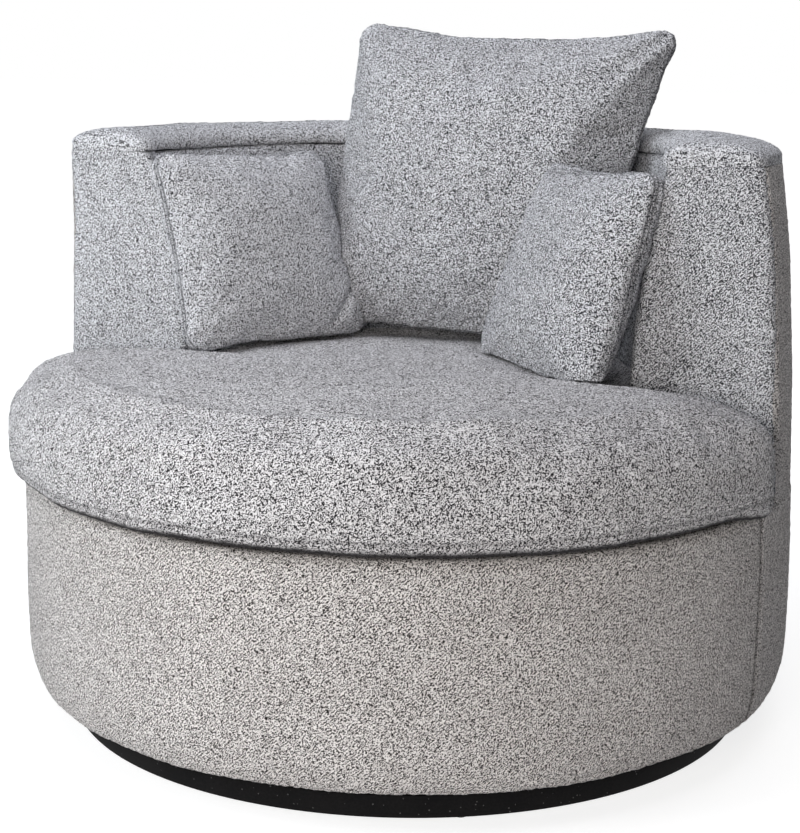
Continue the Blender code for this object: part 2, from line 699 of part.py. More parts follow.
def seat_outline(inset, height):
    """The seat cushion's plan at one height, anticlockwise from the right wing."""
    rear_inset = inset * REAR_EDGE_SHARE
    front = SEAT_RADIUS - inset
    wing = SEAT_WING - rear_inset
    rear = inner_radius(height) - CUSHION_CLEARANCE - rear_inset
    corner = WING_ROUND - rear_inset
    corner_y = wing - corner
    corner_x = half_chord(front - corner, corner_y)
    tangent = math.atan2(corner_y, corner_x)
    meet = math.asin(wing / rear)
    right = arc((corner_x, corner_y), corner, tangent, math.pi / 2, 5) + [(corner_x, wing)]
    back = arc((0, 0), rear, meet, math.pi - meet, 18) + [(-half_chord(rear, wing), wing)]
    left = arc((-corner_x, corner_y), corner, math.pi / 2, math.pi - tangent, 5)
    round_front = arc((0, 0), front, math.pi - tangent, math.tau + tangent, 30)
    return right + back + left + round_front


def droop_share(y):
    """How much of the droop there is at y: none at the wings, all of it in front of them."""
    start = SEAT_WING - WING_ROUND
    return min(max((start - y) / WING_ROUND, 0.0), 1.0)


def seat_cushion_shape():
    """A thick cushion with a drooping lower edge, a soft shoulder and a low crown."""
    centre = Vector((0, (SEAT_WING - SEAT_RADIUS) / 2 + SEAT_SHOULDER))
    shape = bmesh.new()
    rings = []
    for inset_share, rise_share in SEAT_UNDERCUT_SHARES:
        level = []
        for x, y in seat_outline(SEAT_UNDERCUT * inset_share, SEAT_BOTTOM):
            share = rise_share if rise_share > 0 else rise_share * droop_share(y)
            level.append((x, y, SEAT_BOTTOM + SEAT_UNDERCUT * share))
        rings.append(level)
    for inset_share, rise_share in SEAT_EDGE_SHARES:
        height = SEAT_BOTTOM + SEAT_THICKNESS * rise_share
        plan = seat_outline(SEAT_SHOULDER * inset_share, height)
        rings.append([(x, y, height) for x, y in plan])
    shoulder = rings[-1]
    for share in SEAT_CROWN_SHARES:
        height = between(shoulder[0][2], SEAT_BOTTOM + SEAT_THICKNESS + SEAT_CROWN, 1 - share**2)
        crown = []
        for x, y, _ in shoulder:
            place = centre + (Vector((x, y)) - centre) * share
            crown.append((place.x, place.y, height))
        rings.append(crown)
    loops = [[shape.verts.new(place) for place in level] for level in rings]
    for lower, upper in zip(loops, loops[1:]):
        for step in range(len(lower)):
            shape.faces.new((lower[step - 1], lower[step], upper[step], upper[step - 1]))
    for loop, height in ((loops[0], SEAT_BOTTOM), (loops[-1], SEAT_BOTTOM + SEAT_THICKNESS + SEAT_CROWN)):
        pole = shape.verts.new((centre.x, centre.y, height))
        for step in range(len(loop)):
            shape.faces.new((loop[step - 1], loop[step], pole))
    return shape


def pillow_shape(shares, steps, narrow_share=0.0):
    """A knife-edged square cushion: its corners stand out as ears, its sides are drawn
    in between them, and its two faces swell from the edge. It stands in x and z."""
    width, height, thickness = (INNER_TOP_RADIUS * share for share in shares)
    shape = bmesh.new()
    rows = [math.sin(math.pi / 2 * (2 * step / steps - 1)) for step in range(steps + 1)]
    sides = []
    for face in (-1, 1):
        grid = []
        for v in rows:
            row = []
            for u in rows:
                if face == 1 and (abs(u) == 1 or abs(v) == 1):
                    row.append(sides[0][len(grid)][len(row)])
                    continue
                up_draw = TOP_DRAW_SHARE if v > 0 else FOOT_DRAW_SHARE
                x = width / 2 * u * (1 - SIDE_DRAW_SHARE * (1 - v**2))
                x *= 1 - narrow_share * ((1 - v) / 2) ** 2
                z = height / 2 * v * (1 - up_draw * (1 - u**2))
                swell = max(0.0, (1 - u**2) * (1 - v**2)) ** SWELL_POWER_SHARE
                row.append(shape.verts.new((x, face * thickness / 2 * swell, z)))
            grid.append(row)
        sides.append(grid)
    for grid in sides:
        for lower, upper in zip(grid, grid[1:]):
            for step in range(steps):
                shape.faces.new((lower[step], lower[step + 1], upper[step + 1], upper[step]))
    return shape


def world_samples(obj):
    """The object's faces as a tree, with points on its corners, edges and faces."""
    place = Matrix.Translation(obj.location) @ obj.rotation_euler.to_matrix().to_4x4()
    points = [place @ v.co for v in obj.data.vertices]
    faces = [list(face.vertices) for face in obj.data.polygons]
    samples = list(points)
    samples += [(points[edge.vertices[0]] + points[edge.vertices[1]]) / 2 for edge in obj.data.edges]
    samples += [place @ face.center for face in obj.data.polygons]
    return BVHTree.FromPolygons(points, faces), samples


def free_travel(moving, fixed, direction):
    """How far the moving piece can go before it meets the fixed one, if it ever does."""
    direction = Vector(direction).normalized()
    moving_tree, moving_samples = world_samples(moving)
    fixed_tree, fixed_samples = world_samples(fixed)
    found = [fixed_tree.ray_cast(place, direction)[3] for place in moving_samples]
    found += [moving_tree.ray_cast(place, -direction)[3] for place in fixed_samples]
    return min((distance for distance in found if distance is not None), default=math.inf)


def rest(cushion, seat, walls, back_direction):
    """Lets a cushion down on the seat, back against what stands behind it, and down again."""
    for direction, stops, clearance in (
        (Vector((0, 0, -1)), [seat], GAP),
        (back_direction, walls, CUSHION_CLEARANCE),
        (Vector((0, 0, -1)), [seat], GAP),
    ):
        travel = min(free_travel(cushion, stop, direction) for stop in stops)
        cushion.location += direction * (travel - clearance)


def make_loose_cushion(name, shape, material, parent, place, turn, lean, seat, walls):
    """Stands a cushion near its place, in front of it and over the seat, and rests it."""
    turn, lean = math.radians(turn), math.radians(lean)
    back_direction = Vector((-math.sin(turn), math.cos(turn), 0))
    near = Vector((place[0] * INNER_TOP_RADIUS, place[1] * INNER_TOP_RADIUS, WALL_HEIGHT))
    start = near - back_direction * SET_OFF
    cushion = add_object(name, shape, material, parent, start, Euler((-lean, 0, turn)))
    rest(cushion, seat, walls, back_direction)
    return cushion


def make_cushions(materials, seat_parent, loose_parents):
    boucle = materials["boucle"]
    seat = add_object("seat_cushion", seat_cushion_shape(), boucle, seat_parent)
    walls = [bpy.data.objects["inner_back_lining"], bpy.data.objects["top_roll"]]
    back = make_loose_cushion(
        "back_cushion",
        pillow_shape(BACK_SHARES, 14, FOOT_NARROW_SHARE),
        boucle,
        loose_parents["back_cushion"],
        BACK_PLACE_SHARES,
        0.0,
        BACK_LEAN,
        seat,
        walls,
    )
    for name, place, turn, lean in (
        ("scatter_cushion_left", LEFT_PLACE_SHARES, LEFT_TURN, LEFT_LEAN),
        ("scatter_cushion_right", RIGHT_PLACE_SHARES, RIGHT_TURN, RIGHT_LEAN),
    ):
        shape = pillow_shape(SCATTER_SHARES, 10)
        parent = loose_parents[name]
        make_loose_cushion(name, shape, boucle, parent, place, turn, lean, seat, walls + [back])


def make_materials():
    return {
        "boucle": make_material("grey_boucle", (0.36, 0.36, 0.38), 0.95),
        "black_paint": make_material("black_paint", (0.012, 0.012, 0.013), 0.75),
        "black_nylon": make_material("black_nylon", (0.02, 0.02, 0.02), 0.5),
        "black_cloth": make_material("black_cloth", (0.015, 0.015, 0.016), 0.9),
        "zinc_steel": make_material("zinc_steel", (0.62, 0.62, 0.6), 0.35, 1.0),
        "plywood": make_material("plywood", (0.55, 0.38, 0.2), 0.6),
        "webbing": make_material("elastic_webbing", (0.08, 0.07, 0.065), 0.85),
        "deck_felt": make_material("deck_felt", (0.3, 0.3, 0.31), 0.95),
    }


def make_chair():
    clear_scene()
    materials = make_materials()
    base = add_empty("base_axis")
    turning = add_empty("swivel_axis", (0, 0, BALL_HEIGHT))
    cage = add_empty("cage_axis", (0, 0, BALL_HEIGHT))
    seat = add_empty("seat_cushion_lift", (0, 0, SEAT_BOTTOM))
    loose = {}
    for name in ("back_cushion", "scatter_cushion_left", "scatter_cushion_right"):
        loose[name] = add_empty(name + "_lift", (0, 0, SEAT_BOTTOM + SEAT_THICKNESS))
    make_plinth(materials, base)
    make_swivel(materials, base, turning, cage)
    make_drum_frame(materials, turning)
    make_deck(materials, turning)
    make_front_cover(materials, turning)
    make_back_cover(materials, turning)
    make_inner_lining(materials, turning)
    make_wall_frame(materials, turning)
    make_arm_facings(materials, turning)
    make_top_roll(materials, turning)
    make_cushions(materials, seat, loose)


make_chair()
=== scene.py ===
import math

import bmesh
import bpy
import numpy as np
from mathutils import Euler, Matrix, Vector
from mathutils.bvhtree import BVHTree


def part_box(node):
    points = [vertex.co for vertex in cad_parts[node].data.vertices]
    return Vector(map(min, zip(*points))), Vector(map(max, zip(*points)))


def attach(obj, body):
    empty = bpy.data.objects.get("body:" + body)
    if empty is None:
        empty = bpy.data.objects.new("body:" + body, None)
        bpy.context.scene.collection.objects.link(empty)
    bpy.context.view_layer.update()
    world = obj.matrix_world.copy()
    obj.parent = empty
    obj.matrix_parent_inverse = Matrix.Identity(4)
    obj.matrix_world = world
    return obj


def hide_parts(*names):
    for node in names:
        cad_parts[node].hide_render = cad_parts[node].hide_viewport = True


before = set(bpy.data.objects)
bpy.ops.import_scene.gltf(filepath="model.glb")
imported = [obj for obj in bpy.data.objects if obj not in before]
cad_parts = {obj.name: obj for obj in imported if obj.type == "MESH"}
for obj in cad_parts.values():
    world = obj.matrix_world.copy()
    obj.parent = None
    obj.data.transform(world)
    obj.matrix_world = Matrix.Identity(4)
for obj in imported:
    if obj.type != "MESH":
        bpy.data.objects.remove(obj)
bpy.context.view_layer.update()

scene = bpy.context.scene

# the same heights and radii as the solids, in metres
chair = {
    "drumRadius": 0.520,
    "drumFoot": 0.048,
    "deck": 0.325,
    "seamHeight": 0.742,
    "crown": 0.772,
    "wallFoot": 0.518,
    "wallTop": 0.497,
    "innerFoot": 0.303,
    "innerTop": 0.378,
    "armFace": -0.045,
    "coverSeam": -0.097,
    "seatBottom": 0.3253,
}


def report(words):
    print("chair:", words)


def newPiece(name, points, faces):
    mesh = bpy.data.meshes.new(name)
    mesh.from_pydata([tuple(p) for p in points], [], faces)
    mesh.validate()
    obj = bpy.data.objects.new(name, mesh)
    scene.collection.objects.link(obj)
    return obj


def editMesh(obj, work):
    shape = bmesh.new()
    shape.from_mesh(obj.data)
    work(shape)
    shape.to_mesh(obj.data)
    shape.free()


def turnOutwards(obj):
    def turn(shape):
        bmesh.ops.recalc_face_normals(shape, faces=shape.faces)
        if shape.calc_volume(signed=True) < 0:
            bmesh.ops.reverse_faces(shape, faces=shape.faces)

    editMesh(obj, turn)


def getPoints(mesh):
    flat = np.empty(len(mesh.vertices) * 3, dtype=np.float32)
    mesh.vertices.foreach_get("co", flat)
    return flat.reshape(-1, 3).astype(np.float64)


def setPoints(mesh, points):
    mesh.vertices.foreach_set("co", np.asarray(points, dtype=np.float32).ravel())
    mesh.update()


def getNormals(mesh):
    flat = np.empty(len(mesh.vertices) * 3, dtype=np.float32)
    mesh.vertex_normals.foreach_get("vector", flat)
    return flat.reshape(-1, 3).astype(np.float64)


def finalMesh(obj):
    graph = bpy.context.evaluated_depsgraph_get()
    return bpy.data.meshes.new_from_object(obj.evaluated_get(graph), depsgraph=graph)


def bake(obj):
    # the evaluated object becomes a plain mesh, and its modifiers go
    mesh = finalMesh(obj)
    obj.modifiers.clear()
    old = obj.data
    obj.data = mesh
    mesh.name = obj.name
    if old.users == 0:
        bpy.data.meshes.remove(old)
    return obj


def smoothShade(obj, angle=None):
    obj.data.shade_smooth()
    if angle is not None:
        obj.data.set_sharp_from_angle(angle=math.radians(angle))


def giveFinish(obj, material, body, nodes=()):
    obj.data.materials.clear()
    obj.data.materials.append(material)
    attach(obj, body)
    if nodes:
        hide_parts(*nodes)
    return obj


def blendTo(low, high, share):
    return low + (high - low) * share


def roundOver(distance, width, depth):
    # how far a padded panel falls away at this distance from its seam
    share = np.clip(1 - np.asarray(distance, dtype=float) / width, 0, 1)
    return depth * (1 - np.sqrt(1 - share**2))


def newTree(name, sizes):
    tree = bpy.data.node_groups.new(name, "GeometryNodeTree")
    tree.interface.new_socket("Geometry", in_out="INPUT", socket_type="NodeSocketGeometry")
    for label, value in sizes.items():
        kind = "NodeSocketInt" if isinstance(value, int) else "NodeSocketFloat"
        socket = tree.interface.new_socket(label, in_out="INPUT", socket_type=kind)
        socket.default_value = value
    tree.interface.new_socket("Finish", in_out="INPUT", socket_type="NodeSocketMaterial")
    tree.interface.new_socket("Geometry", in_out="OUTPUT", socket_type="NodeSocketGeometry")
    start = tree.nodes.new("NodeGroupInput")
    end = tree.nodes.new("NodeGroupOutput")
    return tree, start, end


def addNode(tree, kind, settings=None, values=None):
    node = tree.nodes.new(kind)
    for key, value in (settings or {}).items():
        setattr(node, key, value)
    for key, value in (values or {}).items():
        if isinstance(value, bpy.types.NodeSocket):
            tree.links.new(value, node.inputs[key])
        else:
            node.inputs[key].default_value = value
    return node


def finishTree(tree, start, end, geometry):
    whole = addNode(tree, "GeometryNodeRealizeInstances", values={"Geometry": geometry})
    painted = addNode(
        tree, "GeometryNodeSetMaterial",
        values={"Geometry": whole.outputs[0], "Material": start.outputs["Finish"]},
    )
    tree.links.new(painted.outputs[0], end.inputs["Geometry"])


def addTree(obj, tree, material, sizes=None):
    modifier = obj.modifiers.new(tree.name, "NODES")
    modifier.node_group = tree
    for item in tree.interface.items_tree:
        if item.item_type != "SOCKET" or item.in_out != "INPUT":
            continue
        if item.name == "Finish":
            modifier[item.identifier] = material
        elif item.name in (sizes or {}):
            modifier[item.identifier] = sizes[item.name]


def runTree(obj, tree, material, sizes=None):
    addTree(obj, tree, material, sizes)
    return bake(obj)


def loopPileTree():
    # stands the surface up and down along its own normal, as the loops of the yarn do
    tree, start, end = newTree(
        "loopPile",
        {"Loop size": 0.0068, "Loop height": 0.0011, "Wave size": 0.11, "Wave height": 0.0012, "Seed": 1.0},
    )
    place = addNode(tree, "GeometryNodeInputPosition")
    normal = addNode(tree, "GeometryNodeInputNormal")

    def field(size, height, detail):
        grain = addNode(
            tree, "ShaderNodeTexNoise", {"noise_dimensions": "4D"},
            {
                "Vector": place.outputs[0], "W": start.outputs["Seed"], "Detail": detail,
                "Scale": mathNode(tree, "DIVIDE", 1.0, start.outputs[size]),
            },
        )
        level = mathNode(tree, "SUBTRACT", grain.outputs[0], 0.5)
        return mathNode(tree, "MULTIPLY", level, start.outputs[height])

    loops, waves = field("Loop size", "Loop height", 1.0), field("Wave size", "Wave height", 0.0)
    # the noise keeps within about an eighth of its middle, which this brings to the full height
    rise = mathNode(tree, "MULTIPLY", mathNode(tree, "ADD", loops, waves), 4.0)
    offset = addNode(
        tree, "ShaderNodeVectorMath", {"operation": "SCALE"}, {0: normal.outputs[0], "Scale": rise}
    )
    moved = addNode(
        tree, "GeometryNodeSetPosition",
        values={"Geometry": start.outputs["Geometry"], "Offset": offset.outputs[0]},
    )
    shaded = addNode(tree, "GeometryNodeSetShadeSmooth", values={0: moved.outputs[0]})
    finishTree(tree, start, end, shaded.outputs[0])
    return tree


def stitchTree():
    # one thread stitch after another along the curve that comes in
    tree, start, end = newTree(
        "stitchRow", {"Pitch": 0.007, "Stitch length": 0.0048, "Thread radius": 0.0006, "Seed": 3}
    )
    even = addNode(
        tree, "GeometryNodeResampleCurve", {"mode": "LENGTH"},
        {"Curve": start.outputs["Geometry"], "Length": start.outputs["Pitch"]},
    )
    stitch = addNode(tree, "GeometryNodeMeshUVSphere", values={"Segments": 6, "Rings": 4, "Radius": 0.5})
    across = mathNode(tree, "MULTIPLY", start.outputs["Thread radius"], 2.0)
    size = addNode(
        tree, "ShaderNodeCombineXYZ", values={"X": across, "Y": across, "Z": start.outputs["Stitch length"]}
    )
    tangent = addNode(tree, "GeometryNodeInputTangent")
    turn = addNode(tree, "FunctionNodeAlignRotationToVector", {"axis": "Z"}, {"Vector": tangent.outputs[0]})
    limits = {2: 0.85, 3: 1.1, "Seed": start.outputs["Seed"]}
    vary = addNode(tree, "FunctionNodeRandomValue", {"data_type": "FLOAT"}, limits)
    varied = addNode(
        tree, "ShaderNodeVectorMath", {"operation": "SCALE"}, {0: size.outputs[0], "Scale": vary.outputs[1]}
    )
    placed = addNode(
        tree, "GeometryNodeInstanceOnPoints",
        values={
            "Points": even.outputs[0], "Instance": stitch.outputs[0],
            "Rotation": turn.outputs[0], "Scale": varied.outputs[0],
        },
    )
    finishTree(tree, start, end, placed.outputs[0])
    return tree


def ringOfTree(name, sourceObject):
    # copies of one small part, evenly round a circle about the swivel's axis
    tree, start, end = newTree(name, {"Count": 6, "Circle radius": 0.2, "First angle": 0.0, "Height": 0.0})
    count, radius = start.outputs["Count"], start.outputs["Circle radius"]
    index = addNode(tree, "GeometryNodeInputIndex")
    line = addNode(tree, "GeometryNodeMeshLine", values={"Count": count, "Offset": (0.0, 0.0, 0.0)})
    step = mathNode(tree, "DIVIDE", math.tau, count)
    angle = mathNode(tree, "MULTIPLY_ADD", index.outputs[0], step, start.outputs["First angle"])
    place = addNode(
        tree, "ShaderNodeCombineXYZ",
        values={
            "X": mathNode(tree, "MULTIPLY", mathNode(tree, "COSINE", angle), radius),
            "Y": mathNode(tree, "MULTIPLY", mathNode(tree, "SINE", angle), radius),
            "Z": start.outputs["Height"],
        },
    )
    points = addNode(
        tree, "GeometryNodeSetPosition", values={"Geometry": line.outputs[0], "Position": place.outputs[0]}
    )
    spin = addNode(tree, "ShaderNodeCombineXYZ", values={"Z": angle})
    source = addNode(tree, "GeometryNodeObjectInfo", values={"Object": sourceObject})
    copies = addNode(
        tree, "GeometryNodeInstanceOnPoints",
        values={
            "Points": points.outputs[0], "Instance": source.outputs["Geometry"], "Rotation": spin.outputs[0],
        },
    )
    finishTree(tree, start, end, copies.outputs[0])
    return tree


def ringOf(name, source, material, count, radius, firstAngle, height):
    holder = newPiece(name, [(0, 0, 0)], [])
    tree = ringOfTree(name + "Ring", source)
    sizes = {"Count": count, "Circle radius": radius, "First angle": firstAngle, "Height": height}
    runTree(holder, tree, material, sizes)
    bpy.data.objects.remove(source)
    return holder


def newFinish(name, roughness=0.6, metallic=0.0):
    material = bpy.data.materials.new(name)
    material.use_nodes = True
    shader = material.node_tree.nodes["Principled BSDF"]
    shader.inputs["Roughness"].default_value = roughness
    shader.inputs["Metallic"].default_value = metallic
    return material, material.node_tree, shader


def newGroup(name, inputs, outputs):
    group = bpy.data.node_groups.new(name, "ShaderNodeTree")
    for label, value in inputs.items():
        kind = "NodeSocketFloat"
        if isinstance(value, tuple):
            kind = "NodeSocketVector" if len(value) == 3 else "NodeSocketColor"
        socket = group.interface.new_socket(label, in_out="INPUT", socket_type=kind)
        socket.default_value = value
    for label, kind in outputs.items():
        group.interface.new_socket(label, in_out="OUTPUT", socket_type="NodeSocket" + kind)
    return group, group.nodes.new("NodeGroupInput"), group.nodes.new("NodeGroupOutput")


def mathNode(tree, operation, first, second=None, third=None, clamp=False):
    values = {0: first}
    if second is not None:
        values[1] = second
    if third is not None:
        values[2] = third
    return addNode(
        tree, "ShaderNodeMath", {"operation": operation, "use_clamp": clamp}, values
    ).outputs[0]


def mixColour(tree, share, first, second):
    node = addNode(tree, "ShaderNodeMix", {"data_type": "RGBA"}, {"Factor": share})
    for index, value in ((6, first), (7, second)):
        if isinstance(value, bpy.types.NodeSocket):
            tree.links.new(value, node.inputs[index])
        else:
            node.inputs[index].default_value = (*value[:3], 1.0)
    return node.outputs[2]


def rampNode(tree, value, low, high):
    return addNode(
        tree, "ShaderNodeMapRange", {"interpolation_type": "SMOOTHSTEP"},
        {"Value": value, "From Min": low, "From Max": high, "To Min": 0.0, "To Max": 1.0},
    ).outputs[0]


def noiseNode(tree, vector, scale, detail=2.0, roughness=0.5, distortion=0.0):
    return addNode(
        tree, "ShaderNodeTexNoise", values={
            "Vector": vector, "Scale": scale, "Detail": detail,
            "Roughness": roughness, "Distortion": distortion,
        },
    ).outputs[0]


yarnShape = {
    "loopRate": 0.75,      # cells of the loops to one loop size
    "curlRate": 1.1,
    "draw": 0.45,          # how far the slanted rows draw the loops out
    "bendRate": 90.0, "bend": 0.004,
    "wave": 0.055,         # how strongly the rows stand out in even lines
    "greyer": 0.45,        # most of the grey yarn in one loop
    "cloudRate": 9.0, "cloud": 0.10,
    # how far the painted shade of seams and contact areas darkens the cloth
    "seamShade": 0.8,
}


def boucleGroup():
    # small curled loops over near-black gaps. The near-black is painted shade deep in the pile between the
    # loops. On the cloth's own map slanted rows draw them out.
    group, start, end = newGroup(
        "boucleYarn",
        {
            "Place": (0.0, 0.0, 0.0), "Weave place": (0.0, 0.0, 0.0),
            "Loop size": 0.0021, "Row pitch": 0.0033, "Rows": 0.4, "Dome share": 0.3,
            "Light yarn": (0.78, 0.77, 0.78, 1.0), "Middle yarn": (0.30, 0.30, 0.31, 1.0),
            "Dark yarn": (0.03, 0.03, 0.034, 1.0), "Gap": 0.45, "Contrast": 0.1, "Seam": 0.0,
        },
        {"Colour": "Color", "Height": "Float"},
    )
    shape, given = yarnShape, start.outputs
    place = given["Place"]
    rate = mathNode(group, "DIVIDE", 1.0, given["Loop size"])
    cells = mathNode(group, "MULTIPLY", rate, shape["loopRate"])
    loops = addNode(
        group, "ShaderNodeTexVoronoi", values={"Vector": place, "Scale": cells, "Randomness": 0.8}
    )
    dome = mathNode(group, "SUBTRACT", 1.0, loops.outputs["Distance"])
    curls = noiseNode(group, place, mathNode(group, "MULTIPLY", rate, shape["curlRate"]), 0.0, 0.5, 0.3)
    split = addNode(group, "ShaderNodeSeparateXYZ", values={0: given["Weave place"]})
    across = mathNode(group, "SUBTRACT", split.outputs[1], split.outputs[0])
    along = mathNode(group, "ADD", split.outputs[0], split.outputs[1])
    along = mathNode(group, "MULTIPLY", along, shape["draw"])
    bent = noiseNode(group, place, shape["bendRate"], 1.0)
    bent = mathNode(group, "MULTIPLY_ADD", bent, shape["bend"], across)
    turns = mathNode(group, "DIVIDE", bent, given["Row pitch"])
    wave = mathNode(group, "SINE", mathNode(group, "MULTIPLY", turns, math.tau * 0.7071))
    slanted = addNode(group, "ShaderNodeCombineXYZ", values={0: along, 1: across, 2: 0.37})
    chain = noiseNode(group, slanted.outputs[0], cells, 1.0, 0.4, 0.2)
    rows = mathNode(group, "MULTIPLY_ADD", wave, shape["wave"], chain)
    grain = addNode(group, "ShaderNodeMix", {"data_type": "FLOAT"}, {0: given["Rows"], 2: curls, 3: rows})
    both = addNode(
        group, "ShaderNodeMix", {"data_type": "FLOAT"}, {0: given["Dome share"], 2: grain.outputs[0], 3: dome}
    )
    low = mathNode(group, "SUBTRACT", given["Gap"], given["Contrast"])
    high = mathNode(group, "ADD", given["Gap"], given["Contrast"])
    shade = rampNode(group, both.outputs[0], low, high)
    # some loops are of a greyer yarn, and broad clouds shift the whole cloth a little
    tint = addNode(group, "ShaderNodeSeparateColor", values={0: loops.outputs["Color"]})
    greyer = mathNode(group, "MULTIPLY", rampNode(group, tint.outputs[0], 0.35, 0.9), shape["greyer"])
    cloud = rampNode(group, noiseNode(group, place, shape["cloudRate"], 3.0), 0.3, 0.7)
    cloud = mathNode(group, "MULTIPLY", cloud, shape["cloud"])
    light = mixColour(group, mathNode(group, "ADD", greyer, cloud), given["Light yarn"], given["Middle yarn"])
    # the gaps take painted shade, and the loops the yarn's own colours
    cloth = mixColour(group, shade, given["Dark yarn"], light)
    # painted shade from the seam marks: darkest in seam grooves and where a cover turns under a neighbour
    paintedShade = mathNode(group, "MULTIPLY", given["Seam"], shape["seamShade"], clamp=True)
    group.links.new(mixColour(group, paintedShade, cloth, given["Dark yarn"]), end.inputs["Colour"])
    group.links.new(shade, end.inputs["Height"])
    return group


def addBump(tree, shader, strength, depth, height):
    bump = addNode(
        tree, "ShaderNodeBump", values={"Strength": strength, "Distance": depth, "Height": height}
    )
    tree.links.new(bump.outputs[0], shader.inputs["Normal"])


# the cool tone paints bluish light from above and the warm tone paints warm light from below, on one cloth.
# Each holds the light yarn, the middle yarn and the painted shade of the gaps.
boucleLook = {
    "coolPaintedLight": ((0.90, 0.905, 0.94, 1.0), (0.33, 0.335, 0.36, 1.0), (0.022, 0.022, 0.027, 1.0)),
    "even": ((0.93, 0.915, 0.93, 1.0), (0.35, 0.34, 0.35, 1.0), (0.023, 0.021, 0.023, 1.0)),
    "warmPaintedLight": ((0.945, 0.91, 0.895, 1.0), (0.365, 0.335, 0.325, 1.0), (0.026, 0.021, 0.019, 1.0)),
    "rowPitch": 0.0033,
    "roughness": 0.95, "gloss": 0.25,
    "bumpStrength": 0.9, "bump": 0.0020,
}


def boucleFinish(
    name, yarn, offset, rows, tone="coolPaintedLight", loopSize=0.0016, dome=0.35, gap=0.455, contrast=0.055
):
    material, tree, shader = newFinish(name, boucleLook["roughness"])
    shader.inputs["Specular IOR Level"].default_value = boucleLook["gloss"]
    coordinates = addNode(tree, "ShaderNodeTexCoord")
    moved = addNode(
        tree, "ShaderNodeMapping", values={"Vector": coordinates.outputs["Object"], "Location": offset}
    )
    weave = addNode(tree, "ShaderNodeUVMap", {"uv_map": "weave"})
    # the seam marks, which carry painted shade
    seam = addNode(tree, "ShaderNodeAttribute", {"attribute_name": "seam"})
    light, middle, dark = boucleLook[tone]
    cloth = addNode(
        tree, "ShaderNodeGroup", {"node_tree": yarn},
        {
            "Place": moved.outputs[0], "Weave place": weave.outputs[0], "Seam": seam.outputs["Fac"],
            "Loop size": loopSize, "Row pitch": boucleLook["rowPitch"], "Rows": rows, "Dome share": dome,
            "Light yarn": light, "Middle yarn": middle, "Dark yarn": dark, "Gap": gap, "Contrast": contrast,
        },
    )
    tree.links.new(cloth.outputs["Colour"], shader.inputs["Base Color"])
    addBump(tree, shader, boucleLook["bumpStrength"], boucleLook["bump"], cloth.outputs["Height"])
    return material


dustSpecks = {"scale": 170.0, "patchScale": 60.0, "patch": 0.56, "colour": (0.10, 0.10, 0.10)}


def grainyFinish(
    name, base, second, scale, roughness,
    metallic=0.0, bumpDepth=0.0003, stretch=(1, 1, 1), specks=0.0, gloss=0.5,
):
    # paint, nylon, felt and thread: two tones, fine grain and, for paint, pale specks of dust
    material, tree, shader = newFinish(name, roughness, metallic)
    coordinates = addNode(tree, "ShaderNodeTexCoord")
    moved = addNode(
        tree, "ShaderNodeMapping", values={"Vector": coordinates.outputs["Object"], "Scale": stretch}
    )
    place = moved.outputs[0]
    grain = noiseNode(tree, place, scale, 3.0, 0.6)
    cloud = mathNode(tree, "MULTIPLY", noiseNode(tree, place, scale * 0.06, 2.0), 0.4)
    share = rampNode(tree, mathNode(tree, "MULTIPLY_ADD", grain, 0.6, cloud), 0.35, 0.65)
    tone = mixColour(tree, share, base, second)
    if specks:
        dots = addNode(tree, "ShaderNodeTexVoronoi", values={"Vector": place, "Scale": dustSpecks["scale"]})
        dust = mathNode(tree, "LESS_THAN", dots.outputs["Distance"], specks)
        patches = noiseNode(tree, place, dustSpecks["patchScale"])
        dusty = mathNode(tree, "GREATER_THAN", patches, dustSpecks["patch"])
        tone = mixColour(tree, mathNode(tree, "MULTIPLY", dust, dusty), tone, dustSpecks["colour"])
    tree.links.new(tone, shader.inputs["Base Color"])
    rough = mathNode(tree, "MULTIPLY_ADD", grain, 0.2, roughness - 0.1, clamp=True)
    tree.links.new(rough, shader.inputs["Roughness"])
    addBump(tree, shader, 0.6, bumpDepth, grain)
    shader.inputs["Specular IOR Level"].default_value = gloss
    return material


plyThickness = 0.0052      # of a dark and a pale layer together


def plywoodFinish(name, flat):
    # birch faces with long grain. A flat board also has dark and pale layers on its cut edges.
    material, tree, shader = newFinish(name, 0.6)
    coordinates = addNode(tree, "ShaderNodeTexCoord")
    place = coordinates.outputs["Object"]
    split = addNode(tree, "ShaderNodeSeparateXYZ", values={0: place})
    grainScale = (9.0, 70.0, 70.0) if flat else (70.0, 70.0, 9.0)
    stretched = addNode(tree, "ShaderNodeMapping", values={"Vector": place, "Scale": grainScale})
    grain = noiseNode(tree, stretched.outputs[0], 1.0, 4.0, 0.6, 0.4)
    face = mixColour(tree, rampNode(tree, grain, 0.35, 0.7), (0.62, 0.44, 0.25), (0.44, 0.28, 0.14))
    if flat:
        layers = mathNode(tree, "FRACT", mathNode(tree, "MULTIPLY", split.outputs[2], 1 / plyThickness))
        normal = addNode(tree, "ShaderNodeNewGeometry")
        facing = addNode(tree, "ShaderNodeSeparateXYZ", values={0: normal.outputs["Normal"]})
        onEdge = mathNode(tree, "LESS_THAN", mathNode(tree, "ABSOLUTE", facing.outputs[2]), 0.5)
        edge = mixColour(tree, rampNode(tree, layers, 0.42, 0.58), (0.58, 0.42, 0.25), (0.26, 0.15, 0.08))
        face = mixColour(tree, onEdge, face, edge)
    tree.links.new(face, shader.inputs["Base Color"])
    rough = mathNode(tree, "MULTIPLY_ADD", grain, 0.25, 0.5)
    tree.links.new(rough, shader.inputs["Roughness"])
    addBump(tree, shader, 0.5, 0.0004, grain)
    return material


webbing = {"ribPitch": 0.0022, "warpPitch": 0.0019, "stripePlace": 0.014, "stripeHalf": 0.0035}


